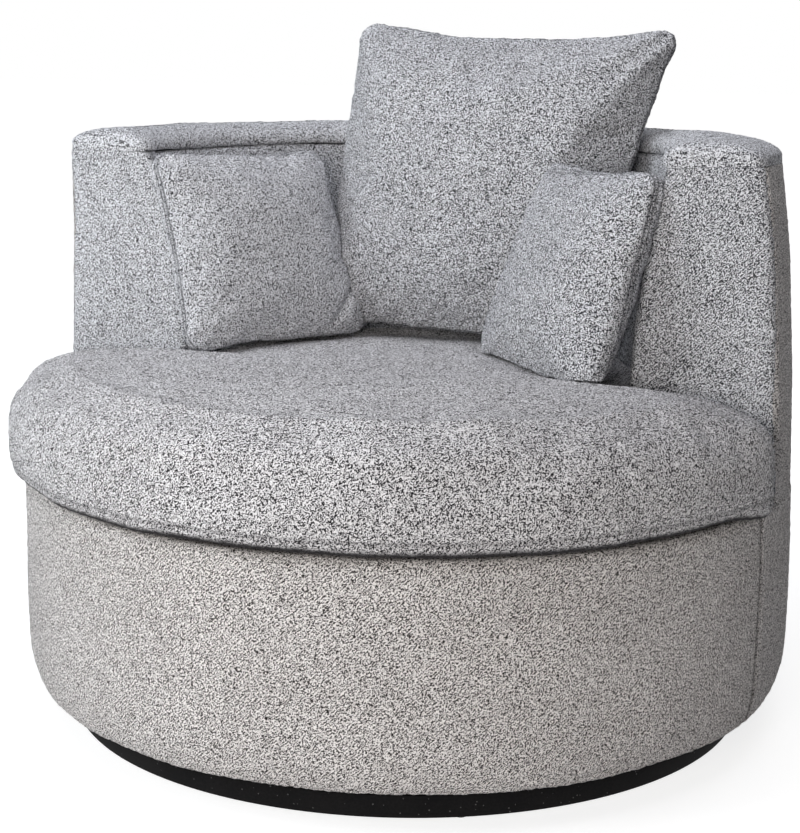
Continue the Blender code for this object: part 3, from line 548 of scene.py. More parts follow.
def webbingFinish():
    # black and brown elastic webbing: ribs across it and coloured warp lines along it
    material, tree, shader = newFinish("elasticWebbing", 0.85)
    weave = addNode(tree, "ShaderNodeUVMap", {"uv_map": "weave"})
    split = addNode(tree, "ShaderNodeSeparateXYZ", values={0: weave.outputs[0]})
    across, along = split.outputs[0], split.outputs[1]
    ribs = mathNode(tree, "SINE", mathNode(tree, "MULTIPLY", along, math.tau / webbing["ribPitch"]))
    warps = mathNode(tree, "SINE", mathNode(tree, "MULTIPLY", across, math.tau / webbing["warpPitch"]))
    aside = mathNode(tree, "SUBTRACT", mathNode(tree, "ABSOLUTE", across), webbing["stripePlace"])
    stripe = mathNode(tree, "LESS_THAN", mathNode(tree, "ABSOLUTE", aside), webbing["stripeHalf"])
    cloth = mixColour(tree, stripe, (0.035, 0.03, 0.028), (0.28, 0.16, 0.08))
    shade = mathNode(tree, "MULTIPLY_ADD", mathNode(tree, "MULTIPLY", ribs, warps), 0.3, 0.6)
    tone = mixColour(tree, shade, (0.01, 0.01, 0.01), cloth)
    tree.links.new(tone, shader.inputs["Base Color"])
    addBump(tree, shader, 0.7, 0.0005, mathNode(tree, "ADD", ribs, warps))
    return material


# the weave map is in metres along the cloth, so that rows keep their size
def setWeave(mesh, places):
    layer = mesh.uv_layers.get("weave") or mesh.uv_layers.new(name="weave")
    layer.data.foreach_set("uv", places.astype(np.float32).ravel())


def mapWeave(obj, rule):
    mesh = obj.data
    corners = np.empty(len(mesh.loops), dtype=np.int32)
    mesh.loops.foreach_get("vertex_index", corners)
    setWeave(mesh, rule(getPoints(mesh))[corners])


def mapRound(obj):
    # round the drum and the wall, and from above where a face lies level
    mesh = obj.data
    count = len(mesh.polygons)
    corners = np.empty(len(mesh.loops), dtype=np.int32)
    sizes = np.empty(count, dtype=np.int32)
    middles = np.empty(count * 3, dtype=np.float32)
    normals = np.empty(count * 3, dtype=np.float32)
    mesh.loops.foreach_get("vertex_index", corners)
    mesh.polygons.foreach_get("loop_total", sizes)
    mesh.polygons.foreach_get("center", middles)
    mesh.polygons.foreach_get("normal", normals)
    owner = np.repeat(np.arange(count), sizes)
    points, middles = getPoints(mesh)[corners], middles.reshape(-1, 3)[owner]
    base = np.arctan2(middles[:, 0], -middles[:, 1])
    angle = np.arctan2(points[:, 0], -points[:, 1]) - base
    angle = base + (angle + math.pi) % math.tau - math.pi
    uv = np.column_stack([angle * 0.5, points[:, 2]])
    level = np.abs(normals.reshape(-1, 3)[owner, 2]) > 0.75
    uv[level] = points[level][:, :2]
    setWeave(mesh, uv)


def frontWeave(points):
    return np.column_stack([points[:, 0], points[:, 2]])


# the darkest painted shade, where a cover turns under a neighbour
darkestPaintedShade = 1.25


def paintShade(obj, amount):
    # how much painted shade each point gets, in the grooves of seams and where a cover turns under a
    # neighbour, for the finish. Past 1 it goes quite dark.
    layer = obj.data.attributes.get("seam") or obj.data.attributes.new("seam", "FLOAT", "POINT")
    layer.data.foreach_set("value", np.clip(amount, 0, darkestPaintedShade).astype(np.float32))


def nearSeam(distance, width):
    return np.exp(-((np.asarray(distance) / width) ** 2))


def ringFaces(rows, count, closed=False):
    # joins each ring of points to the next, and the last to the first where the shape is closed
    faces = []
    for row in range(rows if closed else rows - 1):
        first, second = row * count, (row + 1) % rows * count
        for step in range(count):
            after = (step + 1) % count
            faces.append((first + step, first + after, second + after, second + step))
    return faces


def gridFaces(rows, columns, start=0):
    # squares over a grid of points that is one wider and one higher than its squares
    wide = columns + 1
    corners = (start + row * wide + column for row in range(rows) for column in range(columns))
    return [(corner, corner + 1, corner + 1 + wide, corner + wide) for corner in corners]


def onArc(radius, height, end, share, rear=True):
    start = math.asin(end / radius)
    stop = math.pi - start
    if not rear:
        start, stop = math.pi - start, math.tau + start
    angle = start + (stop - start) * share
    return (radius * math.cos(angle), radius * math.sin(angle), height)


def stepsAlong(total, spacing):
    near = [0.0, 0.0012, 0.0026, 0.0042, 0.0062, 0.0085, 0.0115]
    count = max(2, round((total - 2 * near[-1] - 2 * spacing) / spacing))
    middle = np.linspace(near[-1] + spacing, total - near[-1] - spacing, count + 1)
    return near + list(middle) + [total - step for step in reversed(near)]


def lidFaces(firstRow, back, matches, flip):
    # closes an end: each hidden rung meets the face points beside it
    faces = []
    for number in range(len(back) - 1):
        polygon = list(range(matches[number], matches[number + 1] + 1)) + [back[number + 1], back[number]]
        faces.append(tuple(firstRow + index for index in (polygon if flip else polygon[::-1])))
    return faces


def sweptShell(name, face, back, spacing, reach, endPull, endWidth, rear=True, inside=False):
    # face and back are lists of (radius, height, end), both from the bottom up
    lengths = stepsAlong(reach, spacing)
    total = lengths[-1]
    points = []
    for length in lengths:
        fall = float(roundOver(min(length, total - length), endWidth, endPull))
        shift = fall if inside else -fall
        ring = [(radius + shift, height, end) for radius, height, end in face] + back[::-1]
        points += [onArc(*rung, length / total, rear) for rung in ring]
    count = len(face) + len(back)
    faces = ringFaces(len(lengths), count)
    backIndex = [count - 1 - number for number in range(len(back))]
    matches = [min(range(len(face)), key=lambda index: abs(face[index][1] - rung[1])) for rung in back]
    matches[0], matches[-1] = 0, len(face) - 1
    faces += lidFaces(0, backIndex, matches, False)
    faces += lidFaces((len(lengths) - 1) * count, backIndex, matches, True)
    obj = newPiece(name, points, faces)
    turnOutwards(obj)
    return obj


drumCover = {
    "spacing": 0.0036,
    "footHeight": 0.070,   # over which the side turns in to its foot
    "footInset": 0.020,
    "bulge": 0.0015,
    "footLip": 0.486,      # inner edge of the cloth that is turned under
    "innerSide": 0.507,    # the hidden side of the padding
    "lipHeight": 0.0595, "boardHeight": 0.0615,
    "hoopHeight": 0.300, "hoopEdge": (0.4825, 0.314),
    "seamGap": 0.0004,
    "edgeSpacing": 0.0022,
    "rim": 0.018,
    "rimLip": 0.020,
    "rimRise": 0.0080,     # how far the padded rim stands above the deck
    "seamPull": 0.0055,
    "seamWidth": 0.0085,
}


def drumRadiusAt(height):
    low, over = chair["drumFoot"], drumCover["footHeight"]
    share = min(max((height - low) / over, 0.0), 1.0)
    turnIn = drumCover["footInset"] * (1 - math.sqrt(1 - (1 - share) ** 2.4))
    bulge = drumCover["bulge"] * math.sin(math.pi * min(max((height - low) / 0.26, 0), 1))
    return chair["drumRadius"] - turnIn + bulge


def drumFace(top, end):
    # the tucked foot, its round edge and the side up to the given height
    low = chair["drumFoot"]
    edge = drumRadiusAt(low)
    rungs = [(drumCover["footLip"], low + 0.002, end)]
    rungs += [(edge - 0.008, low + 0.0003, end), (edge - 0.003, low + 0.0001, end)]
    height = low + 0.0012
    while height < top:
        rungs.append((drumRadiusAt(height), height, end))
        height += drumCover["edgeSpacing"] if height < low + 0.03 else drumCover["spacing"]
    return rungs


def makeDrumFront(finish):
    end = chair["coverSeam"] - drumCover["seamGap"]
    rim, rimTop = drumCover["rim"], chair["deck"] + drumCover["rimRise"]
    start, rimMiddle = rimTop - rim, chair["drumRadius"] - rim
    face = drumFace(start, end)
    for step in range(13):
        angle = math.pi / 2 * step / 12
        face.append((rimMiddle + rim * math.cos(angle), start + rim * math.sin(angle), end))
    for step in range(1, 7):
        share = step / 6
        height = rimTop - (drumCover["rimRise"] + 0.0008) * share**2
        face.append((rimMiddle - drumCover["rimLip"] * share, height, end))
    inner = drumCover["innerSide"]
    back = [(drumCover["footLip"], drumCover["lipHeight"], end), (inner, drumCover["boardHeight"], end)]
    back += [(inner, drumCover["hoopHeight"], end), (*drumCover["hoopEdge"], end)]
    reach = chair["drumRadius"] * (math.pi + 2 * math.asin(end / chair["drumRadius"]))
    cover = sweptShell(
        "drumFrontCover", face, back, drumCover["spacing"], reach,
        drumCover["seamPull"], drumCover["seamWidth"], rear=False,
    )
    mapRound(cover)
    points = getPoints(cover.data)
    # painted shade: dark on the rim where it lies under the seat, and in the groove of the side seam
    shaded = 0.9 * np.clip((points[:, 2] - rimTop + 0.004) / 0.003, 0, 1)  # the rim lies under the seat
    paintShade(cover, np.maximum(0.9 * nearSeam(points[:, 1] - end, wallCover["seamShade"]), shaded))
    runTree(cover, pileTree, finish, {"Seed": 2.0})
    giveFinish(cover, finish, "shell", ["drum_front_cover"])


wallCover = {
    "spacing": 0.0042,
    "bulge": 0.003,
    "leftLean": 0.012,     # of the whole wall's top towards the left arm
    "rightLift": 0.0085,
    "armSwell": 0.0175,    # how far the padding stands inwards halfway up, near the arms
    "rimSwell": 0.008,
    "sideShare": 0.55,     # how far round from the back that swell begins
    "endGap": 0.003,       # between the ends of the covers and the arms' faces
    "edgeSpacing": 0.0016,
    "shoulder": ((0.5195, -0.007), (0.5185, -0.003), (0.518, -0.0004)),   # radius, and height over the deck
    "backFoot": 0.505, "backTop": 0.484,    # radii of the hidden side
    "seamShade": 0.0035,
}


def wallShare(height):
    # 0 at the deck and 1 at the seam under the roll
    return np.clip((height - chair["deck"]) / (chair["seamHeight"] - chair["deck"]), 0, 1)


def outerRadiusAt(height):
    share = float(wallShare(height))
    swell = wallCover["bulge"] * math.sin(math.pi * share)
    return blendTo(chair["wallFoot"], chair["wallTop"], share) + swell


def innerRadiusAt(height):
    return blendTo(chair["innerFoot"], chair["innerTop"], float(wallShare(height)))


def armSwell(height):
    share = wallShare(height)
    return wallCover["rimSwell"] * share**4 + wallCover["armSwell"] * np.sin(np.pi * share**1.9)


def swellWall(obj):
    # full at the inner face and nothing at the outer, and it dies out towards the back
    points = getPoints(obj.data)
    radius = np.hypot(points[:, 0], points[:, 1])
    share = wallShare(points[:, 2])
    inner = blendTo(chair["innerFoot"], chair["innerTop"], share)
    outer = blendTo(chair["wallFoot"], chair["wallTop"], share)
    across = np.clip((outer - radius) / (outer - inner), 0, 1)
    side = np.clip((np.abs(points[:, 0]) / radius - wallCover["sideShare"]) / 0.35, 0, 1)
    side = side * side * (3 - 2 * side)
    less = armSwell(points[:, 2]) * across * side
    points[:, :2] *= ((radius - less) / radius)[:, None]
    setPoints(obj.data, points)


def leanWall(obj):
    points = getPoints(obj.data)
    share = np.clip((points[:, 2] - 0.45) / 0.3, 0, 1.05) ** 3
    points[:, 0] -= wallCover["leftLean"] * share
    points[:, 2] += wallCover["rightLift"] * share * np.clip(points[:, 0] / 0.5, 0, 1) ** 2
    setPoints(obj.data, points)


def makeOuterBack(finish):
    end, armEnd = chair["coverSeam"], chair["armFace"] + wallCover["endGap"]
    deck, top = chair["deck"], chair["seamHeight"]
    face = drumFace(deck - 0.012, end)
    face += [(radius, deck + rise, end) for radius, rise in wallCover["shoulder"]]
    height = deck + 0.0004
    while height < top - 0.0004:
        face.append((outerRadiusAt(height), height, armEnd))
        height += wallCover["spacing"] if height < top - 0.018 else wallCover["edgeSpacing"]
    face.append((outerRadiusAt(top) - 0.0002, top + 0.0002, armEnd))
    inner = drumCover["innerSide"]
    back = [
        (drumCover["footLip"], drumCover["lipHeight"], end), (inner, drumCover["boardHeight"], end),
        (inner, deck - 0.002, end), (wallCover["backFoot"], deck + 0.002, armEnd),
        (wallCover["backTop"], top - 0.0006, armEnd),
    ]
    reach = chair["drumRadius"] * (math.pi - 2 * math.asin(end / chair["drumRadius"]))
    cover = sweptShell(
        "outerBackCover", face, back, wallCover["spacing"], reach,
        drumCover["seamPull"], drumCover["seamWidth"],
    )
    leanWall(cover)
    mapRound(cover)
    points = getPoints(cover.data)
    # painted shade in the groove of the side seam, deeper below the deck
    side = np.where(points[:, 2] < deck, points[:, 1] - end, points[:, 1] - armEnd)
    paintShade(cover, np.where(points[:, 2] < deck, 0.9, 0.4) * nearSeam(side, wallCover["seamShade"]))
    runTree(cover, pileTree, finish, {"Seed": 5.0, "Wave height": 0.0016})
    giveFinish(cover, finish, "shell", ["outer_back_cover"])


liningCover = {
    "spacing": 0.0038,
    "rise": 0.0040,        # between the rows of points
    "thickness": 0.029,
    "topPull": 0.0015, "topWidth": 0.006,
    "endPull": 0.009, "endWidth": 0.014,
    "topMark": 0.25, "endMark": 0.9,    # depth of the shadow at its seams
}


def makeInnerLining(finish):
    values = liningCover
    end = chair["armFace"] + wallCover["endGap"]
    low, top = chair["deck"] + 0.0006, chair["seamHeight"] - 0.0004
    face = []
    height = low
    while height < top:
        fall = float(roundOver(top - height, values["topWidth"], values["topPull"]))
        face.append((innerRadiusAt(height) + fall - 0.001, height, end))
        height += values["rise"] if height < top - 0.02 else wallCover["edgeSpacing"]
    face.append((innerRadiusAt(top) + values["topPull"] + 0.002, top, end))
    back = [(innerRadiusAt(height) + values["thickness"], height, end) for height in (low, top)]
    reach = chair["innerTop"] * (math.pi - 2 * math.asin(end / chair["innerTop"]))
    lining = sweptShell(
        "innerBackLining", face, back, values["spacing"], reach,
        values["endPull"], values["endWidth"], inside=True,
    )
    swellWall(lining)
    leanWall(lining)
    mapRound(lining)
    points = getPoints(lining.data)
    topMarks = values["topMark"] * nearSeam(points[:, 2] - top, 0.003)
    paintShade(lining, np.maximum(topMarks, values["endMark"] * nearSeam(points[:, 1] - end, 0.004)))
    runTree(lining, pileTree, finish, {"Seed": 7.0, "Wave height": 0.002})
    giveFinish(lining, finish, "shell", ["inner_back_lining"])
    return lining


topRoll = {
    "spacing": 0.0036,
    "rise": 0.031,
    "bulge": 0.003,
    "outerDraw": 0.080,    # from the widest part to the flat of the crown
    "innerDraw": 0.040,
    "frontRound": 0.036,   # how far the crown stands back from the arm's face
    "frontSwell": 0.0038,
    "seamPull": 0.0025,
    "seamWidth": 0.006,
    "endPull": 0.013, "endWidth": 0.022,
    "crown": 0.0012,       # how far the top swells above its two edges
    "reach": 1.42,         # along the arch, for the spacing of its steps
    "across": 9, "columns": 26,
    # depth of the painted shade along the inner seam
    "seamMark": 0.3,
}


def rollSection():
    # a quarter of the padded section: (share of the rise, share drawn in, share drawn back)
    steps = 26
    angles = [math.pi / 2 * step / steps for step in range(steps + 1)]
    return [(math.sin(a), 1 - math.cos(a), (1 - math.cos(a)) ** 1.15) for a in angles]


def makeTopRoll(finish):
    low = chair["seamHeight"] + 0.0004
    front = chair["armFace"] - topRoll["frontSwell"]
    outerLow, innerLow = outerRadiusAt(low) - 0.0002, chair["innerTop"] - topRoll["bulge"]
    inner, outer = [], []
    for step in range(6):
        rise = wallCover["edgeSpacing"] * step
        height = low + rise
        insideFall = float(roundOver(rise, topRoll["seamWidth"], topRoll["seamPull"]))
        outsideFall = float(roundOver(rise, 0.003, 0.0002))
        inner.append((innerLow + insideFall, height, front + outsideFall))
        outer.append((outerLow - outsideFall, height, front + outsideFall))
    start = inner[-1][1]
    for rise, drawIn, drawBack in rollSection()[1:]:
        height = blendTo(start, low + topRoll["rise"], rise)
        end = front + topRoll["frontRound"] * drawBack
        inner.append((innerLow + topRoll["innerDraw"] * drawIn, height, end))
        outer.append((outerLow - topRoll["outerDraw"] * drawIn, height, end))
    obj = archShell("topRoll", inner, outer)
    swellWall(obj)
    leanWall(obj)
    mapRound(obj)
    points = getPoints(obj.data)
    # painted shade along the seam under the roll, on its inner side
    inside = np.hypot(points[:, 0], points[:, 1]) < innerLow + 0.03
    inside &= points[:, 1] > chair["armFace"] + 0.01
    paintShade(obj, nearSeam(points[:, 2] - low, 0.003) * np.where(inside, topRoll["seamMark"], 0.0))
    runTree(obj, pileTree, finish, {"Seed": 11.0, "Wave height": 0.0016})
    giveFinish(obj, finish, "shell", ["top_roll"])
    return obj


def archShell(name, inner, outer):
    # inner and outer sides of one padded arch, joined over the top and under the foot
    lengths = stepsAlong(topRoll["reach"], topRoll["spacing"])
    total = lengths[-1]
    across, columns = topRoll["across"], topRoll["columns"]
    points = []
    for length in lengths:
        share = length / total
        fall = float(roundOver(min(length, total - length), topRoll["endWidth"], topRoll["endPull"]))
        points += [onArc(radius - fall, height, end, share) for radius, height, end in outer]
        topOuter, topInner = outer[-1][0] - fall, inner[-1][0] + fall
        height, end = outer[-1][1], outer[-1][2]
        for step in range(1, across):
            part = step / across
            crown = topRoll["crown"] * math.sin(math.pi * part)
            points.append(onArc(blendTo(topOuter, topInner, part), height + crown, end, share))
        points += [onArc(radius + fall, height, end, share) for radius, height, end in reversed(inner)]
    count = len(points) // len(lengths)
    faces = ringFaces(len(lengths), count)
    half = len(outer)
    for first in (0, (len(lengths) - 1) * count):
        # the front of the arch, as a grid between its two sides
        grid = []
        for level in range(half):
            left, right = first + level, first + count - 1 - level
            start, stop = Vector(points[left]), Vector(points[right])
            row = [left]
            for step in range(1, columns):
                points.append(tuple(start.lerp(stop, step / columns)))
                row.append(len(points) - 1)
            grid.append(row + [right])
        for lower, upper in zip(grid, grid[1:]):
            for step in range(columns):
                faces.append((lower[step], lower[step + 1], upper[step + 1], upper[step]))
        topRing = [first + half - 1 + step for step in range(across + 1)]
        faces.append(tuple(grid[-1] + topRing[1:-1][::-1]))
    obj = newPiece(name, points, faces)
    editMesh(obj, lambda shape: bmesh.ops.holes_fill(
        shape, edges=[edge for edge in shape.edges if edge.is_boundary], sides=0,
    ))
    turnOutwards(obj)
    return obj


armFacing = {
    "spacing": 0.0036,
    "bulge": 0.004,
    "innerPull": 0.010,
    "innerWidth": 0.016,
    "outerPull": 0.006,
    "outerWidth": 0.012,
    "topCorner": 0.002,
    "gap": 0.0015,         # to the covers at its two sides
    "thickness": 0.024,
    "columns": 62, "evenShare": 0.6,
    "innerMark": 0.7, "outerMark": 0.3, "rightTopMark": 0.15,    # depth of the shadow at its seams
}


def halfChord(radius, y):
    return math.sqrt(radius**2 - y**2)


def makeArmFacing(name, side, finish, node):
    values = armFacing
    low, top = chair["deck"] + 0.0006, chair["seamHeight"] + 0.0006
    face, columns, corner = chair["armFace"], values["columns"], values["topCorner"]
    rowsHigh = round((top - low) / values["spacing"])
    points, marks = [], []
    for row in range(rowsHigh + 1):
        height = blendTo(low, top, row / rowsHigh)
        fromTop = top - height
        cut = corner - math.sqrt(max(corner**2 - max(corner - fromTop, 0) ** 2, 0))
        innerX = halfChord(innerRadiusAt(height), face) + values["gap"] + cut
        outerX = halfChord(outerRadiusAt(height), face) - values["gap"] - cut
        for column in range(columns + 1):
            part = 0.5 - 0.5 * math.cos(math.pi * column / columns)
            part = blendTo(part, column / columns, values["evenShare"])
            x = blendTo(innerX, outerX, part)
            fall = max(
                float(roundOver(x - innerX, values["innerWidth"], values["innerPull"])),
                float(roundOver(outerX - x, values["outerWidth"], values["outerPull"])),
            )
            marks.append(max(
                values["innerMark"] * float(nearSeam(x - innerX, 0.003)),
                values["outerMark"] * float(nearSeam(outerX - x, 0.003)),
                (values["rightTopMark"] if side > 0 else 0.0) * float(nearSeam(fromTop, 0.0025)),
            ))
            swell = values["bulge"] * (1 - (2 * part - 1) ** 2) ** 0.5
            points.append((side * x, face - swell + fall, height))
    # a plain back closes it, one face for each row
    faces = gridFaces(rowsHigh, columns)
    wide, backStart = columns + 1, len(points)
    for row in range(rowsHigh + 1):
        for column in (0, columns):
            x, _, height = points[row * wide + column]
            points.append((x, face + values["thickness"], height))
    for row in range(rowsHigh):
        a, b = backStart + 2 * row, backStart + 2 * row + 1
        c, d = a + 2, b + 2
        faces.append((a, c, d, b))
        faces.append((row * wide, (row + 1) * wide, c, a))
        faces.append((row * wide + columns, b, d, (row + 1) * wide + columns))
    last = rowsHigh * wide
    faces.append(tuple(range(wide)) + (backStart + 1, backStart))
    faces.append(tuple(range(last, last + wide)) + (len(points) - 1, len(points) - 2))
    obj = newPiece(name, points, faces)
    turnOutwards(obj)
    swellWall(obj)
    leanWall(obj)
    mapWeave(obj, frontWeave)
    paintShade(obj, marks + [0.0] * (len(points) - len(marks)))
    runTree(obj, pileTree, finish, {"Seed": 13.0 + side})
    giveFinish(obj, finish, "shell", [node])


def evenMesh(obj, size):
    modifier = obj.modifiers.new("even", "REMESH")
    modifier.mode = "VOXEL"
    modifier.voxel_size = size
    return bake(obj)


stuffing = {"quality": 5, "mass": 0.25, "shearShare": 3}     # shear is that many times weaker than stretch


def stuff(obj, values, held):
    # fills the cover: pressure from inside, no gravity, and a cap on how far a point may go
    start = getPoints(obj.data)
    group = obj.vertex_groups.new(name="held")
    for weight in sorted(set(held.round(2)) - {0.0}):
        group.add(np.nonzero(held.round(2) == weight)[0].tolist(), float(weight), "REPLACE")
    cloth = obj.modifiers.new("stuffing", "CLOTH")
    settings = cloth.settings
    settings.quality = stuffing["quality"]
    settings.mass = stuffing["mass"]
    settings.tension_stiffness = values["stretch"]
    settings.compression_stiffness = values["stretch"]
    settings.shear_stiffness = values["stretch"] / stuffing["shearShare"]
    settings.bending_stiffness = values["bending"]
    settings.use_pressure = True
    settings.uniform_pressure_force = values["pressure"]
    settings.effector_weights.gravity = 0
    settings.vertex_group_mass = "held"
    if values.get("spare"):
        settings.shrink_min = -values["spare"]
    cloth.collision_settings.use_collision = False
    cloth.point_cache.frame_start = 1
    cloth.point_cache.frame_end = values["frames"]
    for number in range(1, values["frames"] + 1):
        scene.frame_set(number)
    bake(obj)
    scene.frame_set(1)
    obj.vertex_groups.clear()
    moved = getPoints(obj.data) - start
    far = np.linalg.norm(moved, axis=1)
    scale = np.where(far > values["cap"], values["cap"] / np.maximum(far, 1e-9), 1.0)
    setPoints(obj.data, start + moved * scale[:, None])
    return obj


def relax(obj, rounds, amount, keep=None):
    # evens out sharp points that the simulation leaves
    mesh = obj.data
    pairs = np.empty(len(mesh.edges) * 2, dtype=np.int32)
    mesh.edges.foreach_get("vertices", pairs)
    first, second = pairs.reshape(-1, 2).T
    points = getPoints(mesh)
    count = np.bincount(np.concatenate([first, second]), minlength=len(points))[:, None]
    share = amount if keep is None else amount * (1 - keep[:, None])
    for _ in range(rounds):
        total = np.zeros_like(points)
        np.add.at(total, first, points[second])
        np.add.at(total, second, points[first])
        points += (total / count - points) * share
    setPoints(mesh, points)


def subdivide(obj):
    modifier = obj.modifiers.new("finer", "SUBSURF")
    modifier.levels = 1
    modifier.render_levels = 1
    return bake(obj)


def treeOf(obj):
    mesh = obj.data
    return BVHTree.FromPolygons([v.co for v in mesh.vertices], [list(p.vertices) for p in mesh.polygons])


def keepClear(obj, trees, margin, reach=0.035):
    # moves points that lie in or against a neighbour out to its surface
    points = getPoints(obj.data)
    moved = 0
    for tree in trees:
        for index, point in enumerate(points):
            place, normal, _, distance = tree.find_nearest(Vector(point), reach)
            if place is None:
                continue
            gap = (Vector(point) - place).dot(normal)
            if gap < margin and (gap < 0 or distance < margin):
                points[index] = place + normal * margin
                moved += 1
    setPoints(obj.data, points)
    return moved


seat = {
    "radius": 0.5415,
    "thickness": 0.150,
    "shoulder": 0.064,
    "wingRound": 0.072,
    "rearShare": 0.7,
    "crown": 0.006,
    "wingDrop": 0.014,      # how far the top falls towards the two wings
    "rearDrop": 0.007,      # and towards the foot of the arms
    "seamRise": 0.030,      # of the lower seam over the cushion's foot
    "stitchRise": 0.011,
    "wallGap": 0.003, "armGap": 0.004,
    "middle": -0.22,        # y of the top's middle
    # seamMark is the depth of the painted shade in the seam's valley
    "seamMark": 0.55, "seamWidth": 0.0026, "seamDepth": 0.0016,
    "heldRise": 0.022, "heldFade": 0.05, "armHold": 0.5,     # what the stuffing leaves in place
    "voxel": 0.0075,
    "pressure": 3.0, "stretch": 18, "bending": 2.0, "frames": 14, "cap": 0.012,
}


# the underside rises over the drum's padded rim, and then turns up into the band: (inset, rise)
seatUnderside = (
    (0.064, 0.0), (0.050, 0.003), (0.043, 0.0088), (0.036, 0.0112), (0.027, 0.0116),
    (0.019, 0.0118), (0.012, 0.0135), (0.0065, 0.0175), (0.0030, 0.0235), (0.0008, 0.0310),
)
# shares of the shoulder and of the thickness, up the side and over the shoulder
seatSide = (
    (0.0, 0.27), (0.0, 0.34), (0.0, 0.41), (0.0, 0.48), (0.005, 0.55), (0.015, 0.61),
    (0.04, 0.67), (0.08, 0.73), (0.135, 0.785), (0.205, 0.83), (0.30, 0.872), (0.42, 0.907),
    (0.57, 0.935), (0.74, 0.957), (0.92, 0.972), (1.1, 0.982),
)


def arcPoints(centre, radius, start, stop, steps):
    angles = (blendTo(start, stop, step / steps) for step in range(steps))
    return [(centre[0] + radius * math.cos(a), centre[1] + radius * math.sin(a)) for a in angles]


def seatPlan(inset, height):
    rearInset = inset * seat["rearShare"]
    front = seat["radius"] - inset
    wing = chair["armFace"] - seat["armGap"] - rearInset
    rear = innerRadiusAt(height) - float(armSwell(height)) - seat["wallGap"] - rearInset
    corner = seat["wingRound"] - rearInset
    cornerY = wing - corner
    cornerX = halfChord(front - corner, cornerY)
    tangent = math.atan2(cornerY, cornerX)
    meet = math.asin(wing / rear)
    right = arcPoints((cornerX, cornerY), corner, tangent, math.pi / 2, 14)
    side = [(blendTo(cornerX, halfChord(rear, wing), step / 12), wing) for step in range(12)]
    back = arcPoints((0, 0), rear, meet, math.pi - meet, 90)
    other = [(-blendTo(halfChord(rear, wing), cornerX, step / 12), wing) for step in range(12)]
    left = arcPoints((-cornerX, cornerY), corner, math.pi / 2, math.pi - tangent, 14)
    round_ = arcPoints((0, 0), front, math.pi - tangent, math.tau + tangent, 150)
    return right + side + back + other + left + round_


def droopAt(y):
    start = chair["armFace"] - seat["wingRound"]
    return min(max((start - y) / seat["wingRound"], 0.0), 1.0)


def seatShape():
    bottom, thick = chair["seatBottom"], seat["thickness"]
    rings = []
    for inset, rise in seatUnderside:
        plan = seatPlan(inset, bottom)
        rings.append([(x, y, bottom + rise * (0.25 + 0.75 * droopAt(y))) for x, y in plan])
    for inset, rise in seatSide:
        height = bottom + thick * rise
        ring = []
        for x, y in seatPlan(seat["shoulder"] * inset, height):
            drop = seat["wingDrop"] * (abs(x) / seat["radius"]) ** 4
            nearArm = min(max((abs(x) - 0.24) / 0.08, 0), 1) * min(max((y + 0.17) / 0.08, 0), 1)
            ring.append((x, y, height - rise**4 * (drop + seat["rearDrop"] * nearArm)))
        rings.append(ring)
    middle = Vector((0, seat["middle"]))
    last = rings[-1]
    top = bottom + thick + seat["crown"]
    for step in range(1, 14):
        share = 1 - step / 14
        height = blendTo(last[0][2], top, 1 - share**2)
        rings.append([(*(middle + (Vector((x, y)) - middle) * share), height) for x, y, _ in last])
    count = len(last)
    points = [point for ring in rings for point in ring]
    faces = ringFaces(len(rings), count)
    highest, end = len(points) - count, len(points)
    points += [(middle.x, middle.y, bottom), (middle.x, middle.y, top)]
    for step in range(count):
        after = (step + 1) % count
        faces.append((after, step, end))
        faces.append((highest + step, highest + after, end + 1))
    obj = newPiece("seatCushion", points, faces)
    turnOutwards(obj)
    return obj


def makeSeat(finish):
    obj = seatShape()
    evenMesh(obj, seat["voxel"])
    points = getPoints(obj.data)
    low = chair["seatBottom"]
    held = np.clip(1 - (points[:, 2] - low - seat["heldRise"]) / seat["heldFade"], 0, 1)
    held = np.maximum(held, np.where(points[:, 1] > chair["armFace"] - 0.02, seat["armHold"], 0))
    stuff(obj, seat, held)
    relax(obj, 3, 0.5, held)
    points = getPoints(obj.data)
    points[:, 2] = np.where(points[:, 2] < low + 0.004, np.maximum(points[:, 2], low - 0.0045), points[:, 2])
    setPoints(obj.data, points)
    subdivide(obj)
    sewSeatSeam(obj)
    mapRound(obj)
    runTree(obj, pileTree, finish, {"Seed": 17.0, "Wave height": 0.002, "Wave size": 0.09})
    giveFinish(obj, finish, "seat", ["seat_cushion"])
    return obj


def sewSeatSeam(obj):
    # the seam of the lower edge lies in a shallow valley, with the stitched-down allowance above it
    points, normals = getPoints(obj.data), getNormals(obj.data)
    radius = np.hypot(points[:, 0], points[:, 1])
    front = (points[:, 1] < chair["armFace"] - 0.03) & (radius > 0.50)
    offset = points[:, 2] - (chair["seatBottom"] + seat["seamRise"])
    lines = nearSeam(offset, seat["seamWidth"]) * front
    setPoints(obj.data, points - normals * (seat["seamDepth"] * lines)[:, None])
    # painted shade: in the seam's valley, and dark where the underside turns down to the drum under the
    # cushion's edge
    shown = (radius > 0.48) & (points[:, 1] < chair["armFace"])
    under = np.clip((-0.35 - normals[:, 2]) / 0.4, 0.0, 1.0) * shown  # dark where it turns down to the drum
    paintShade(obj, np.maximum(seat["seamMark"] * lines, darkestPaintedShade * under))


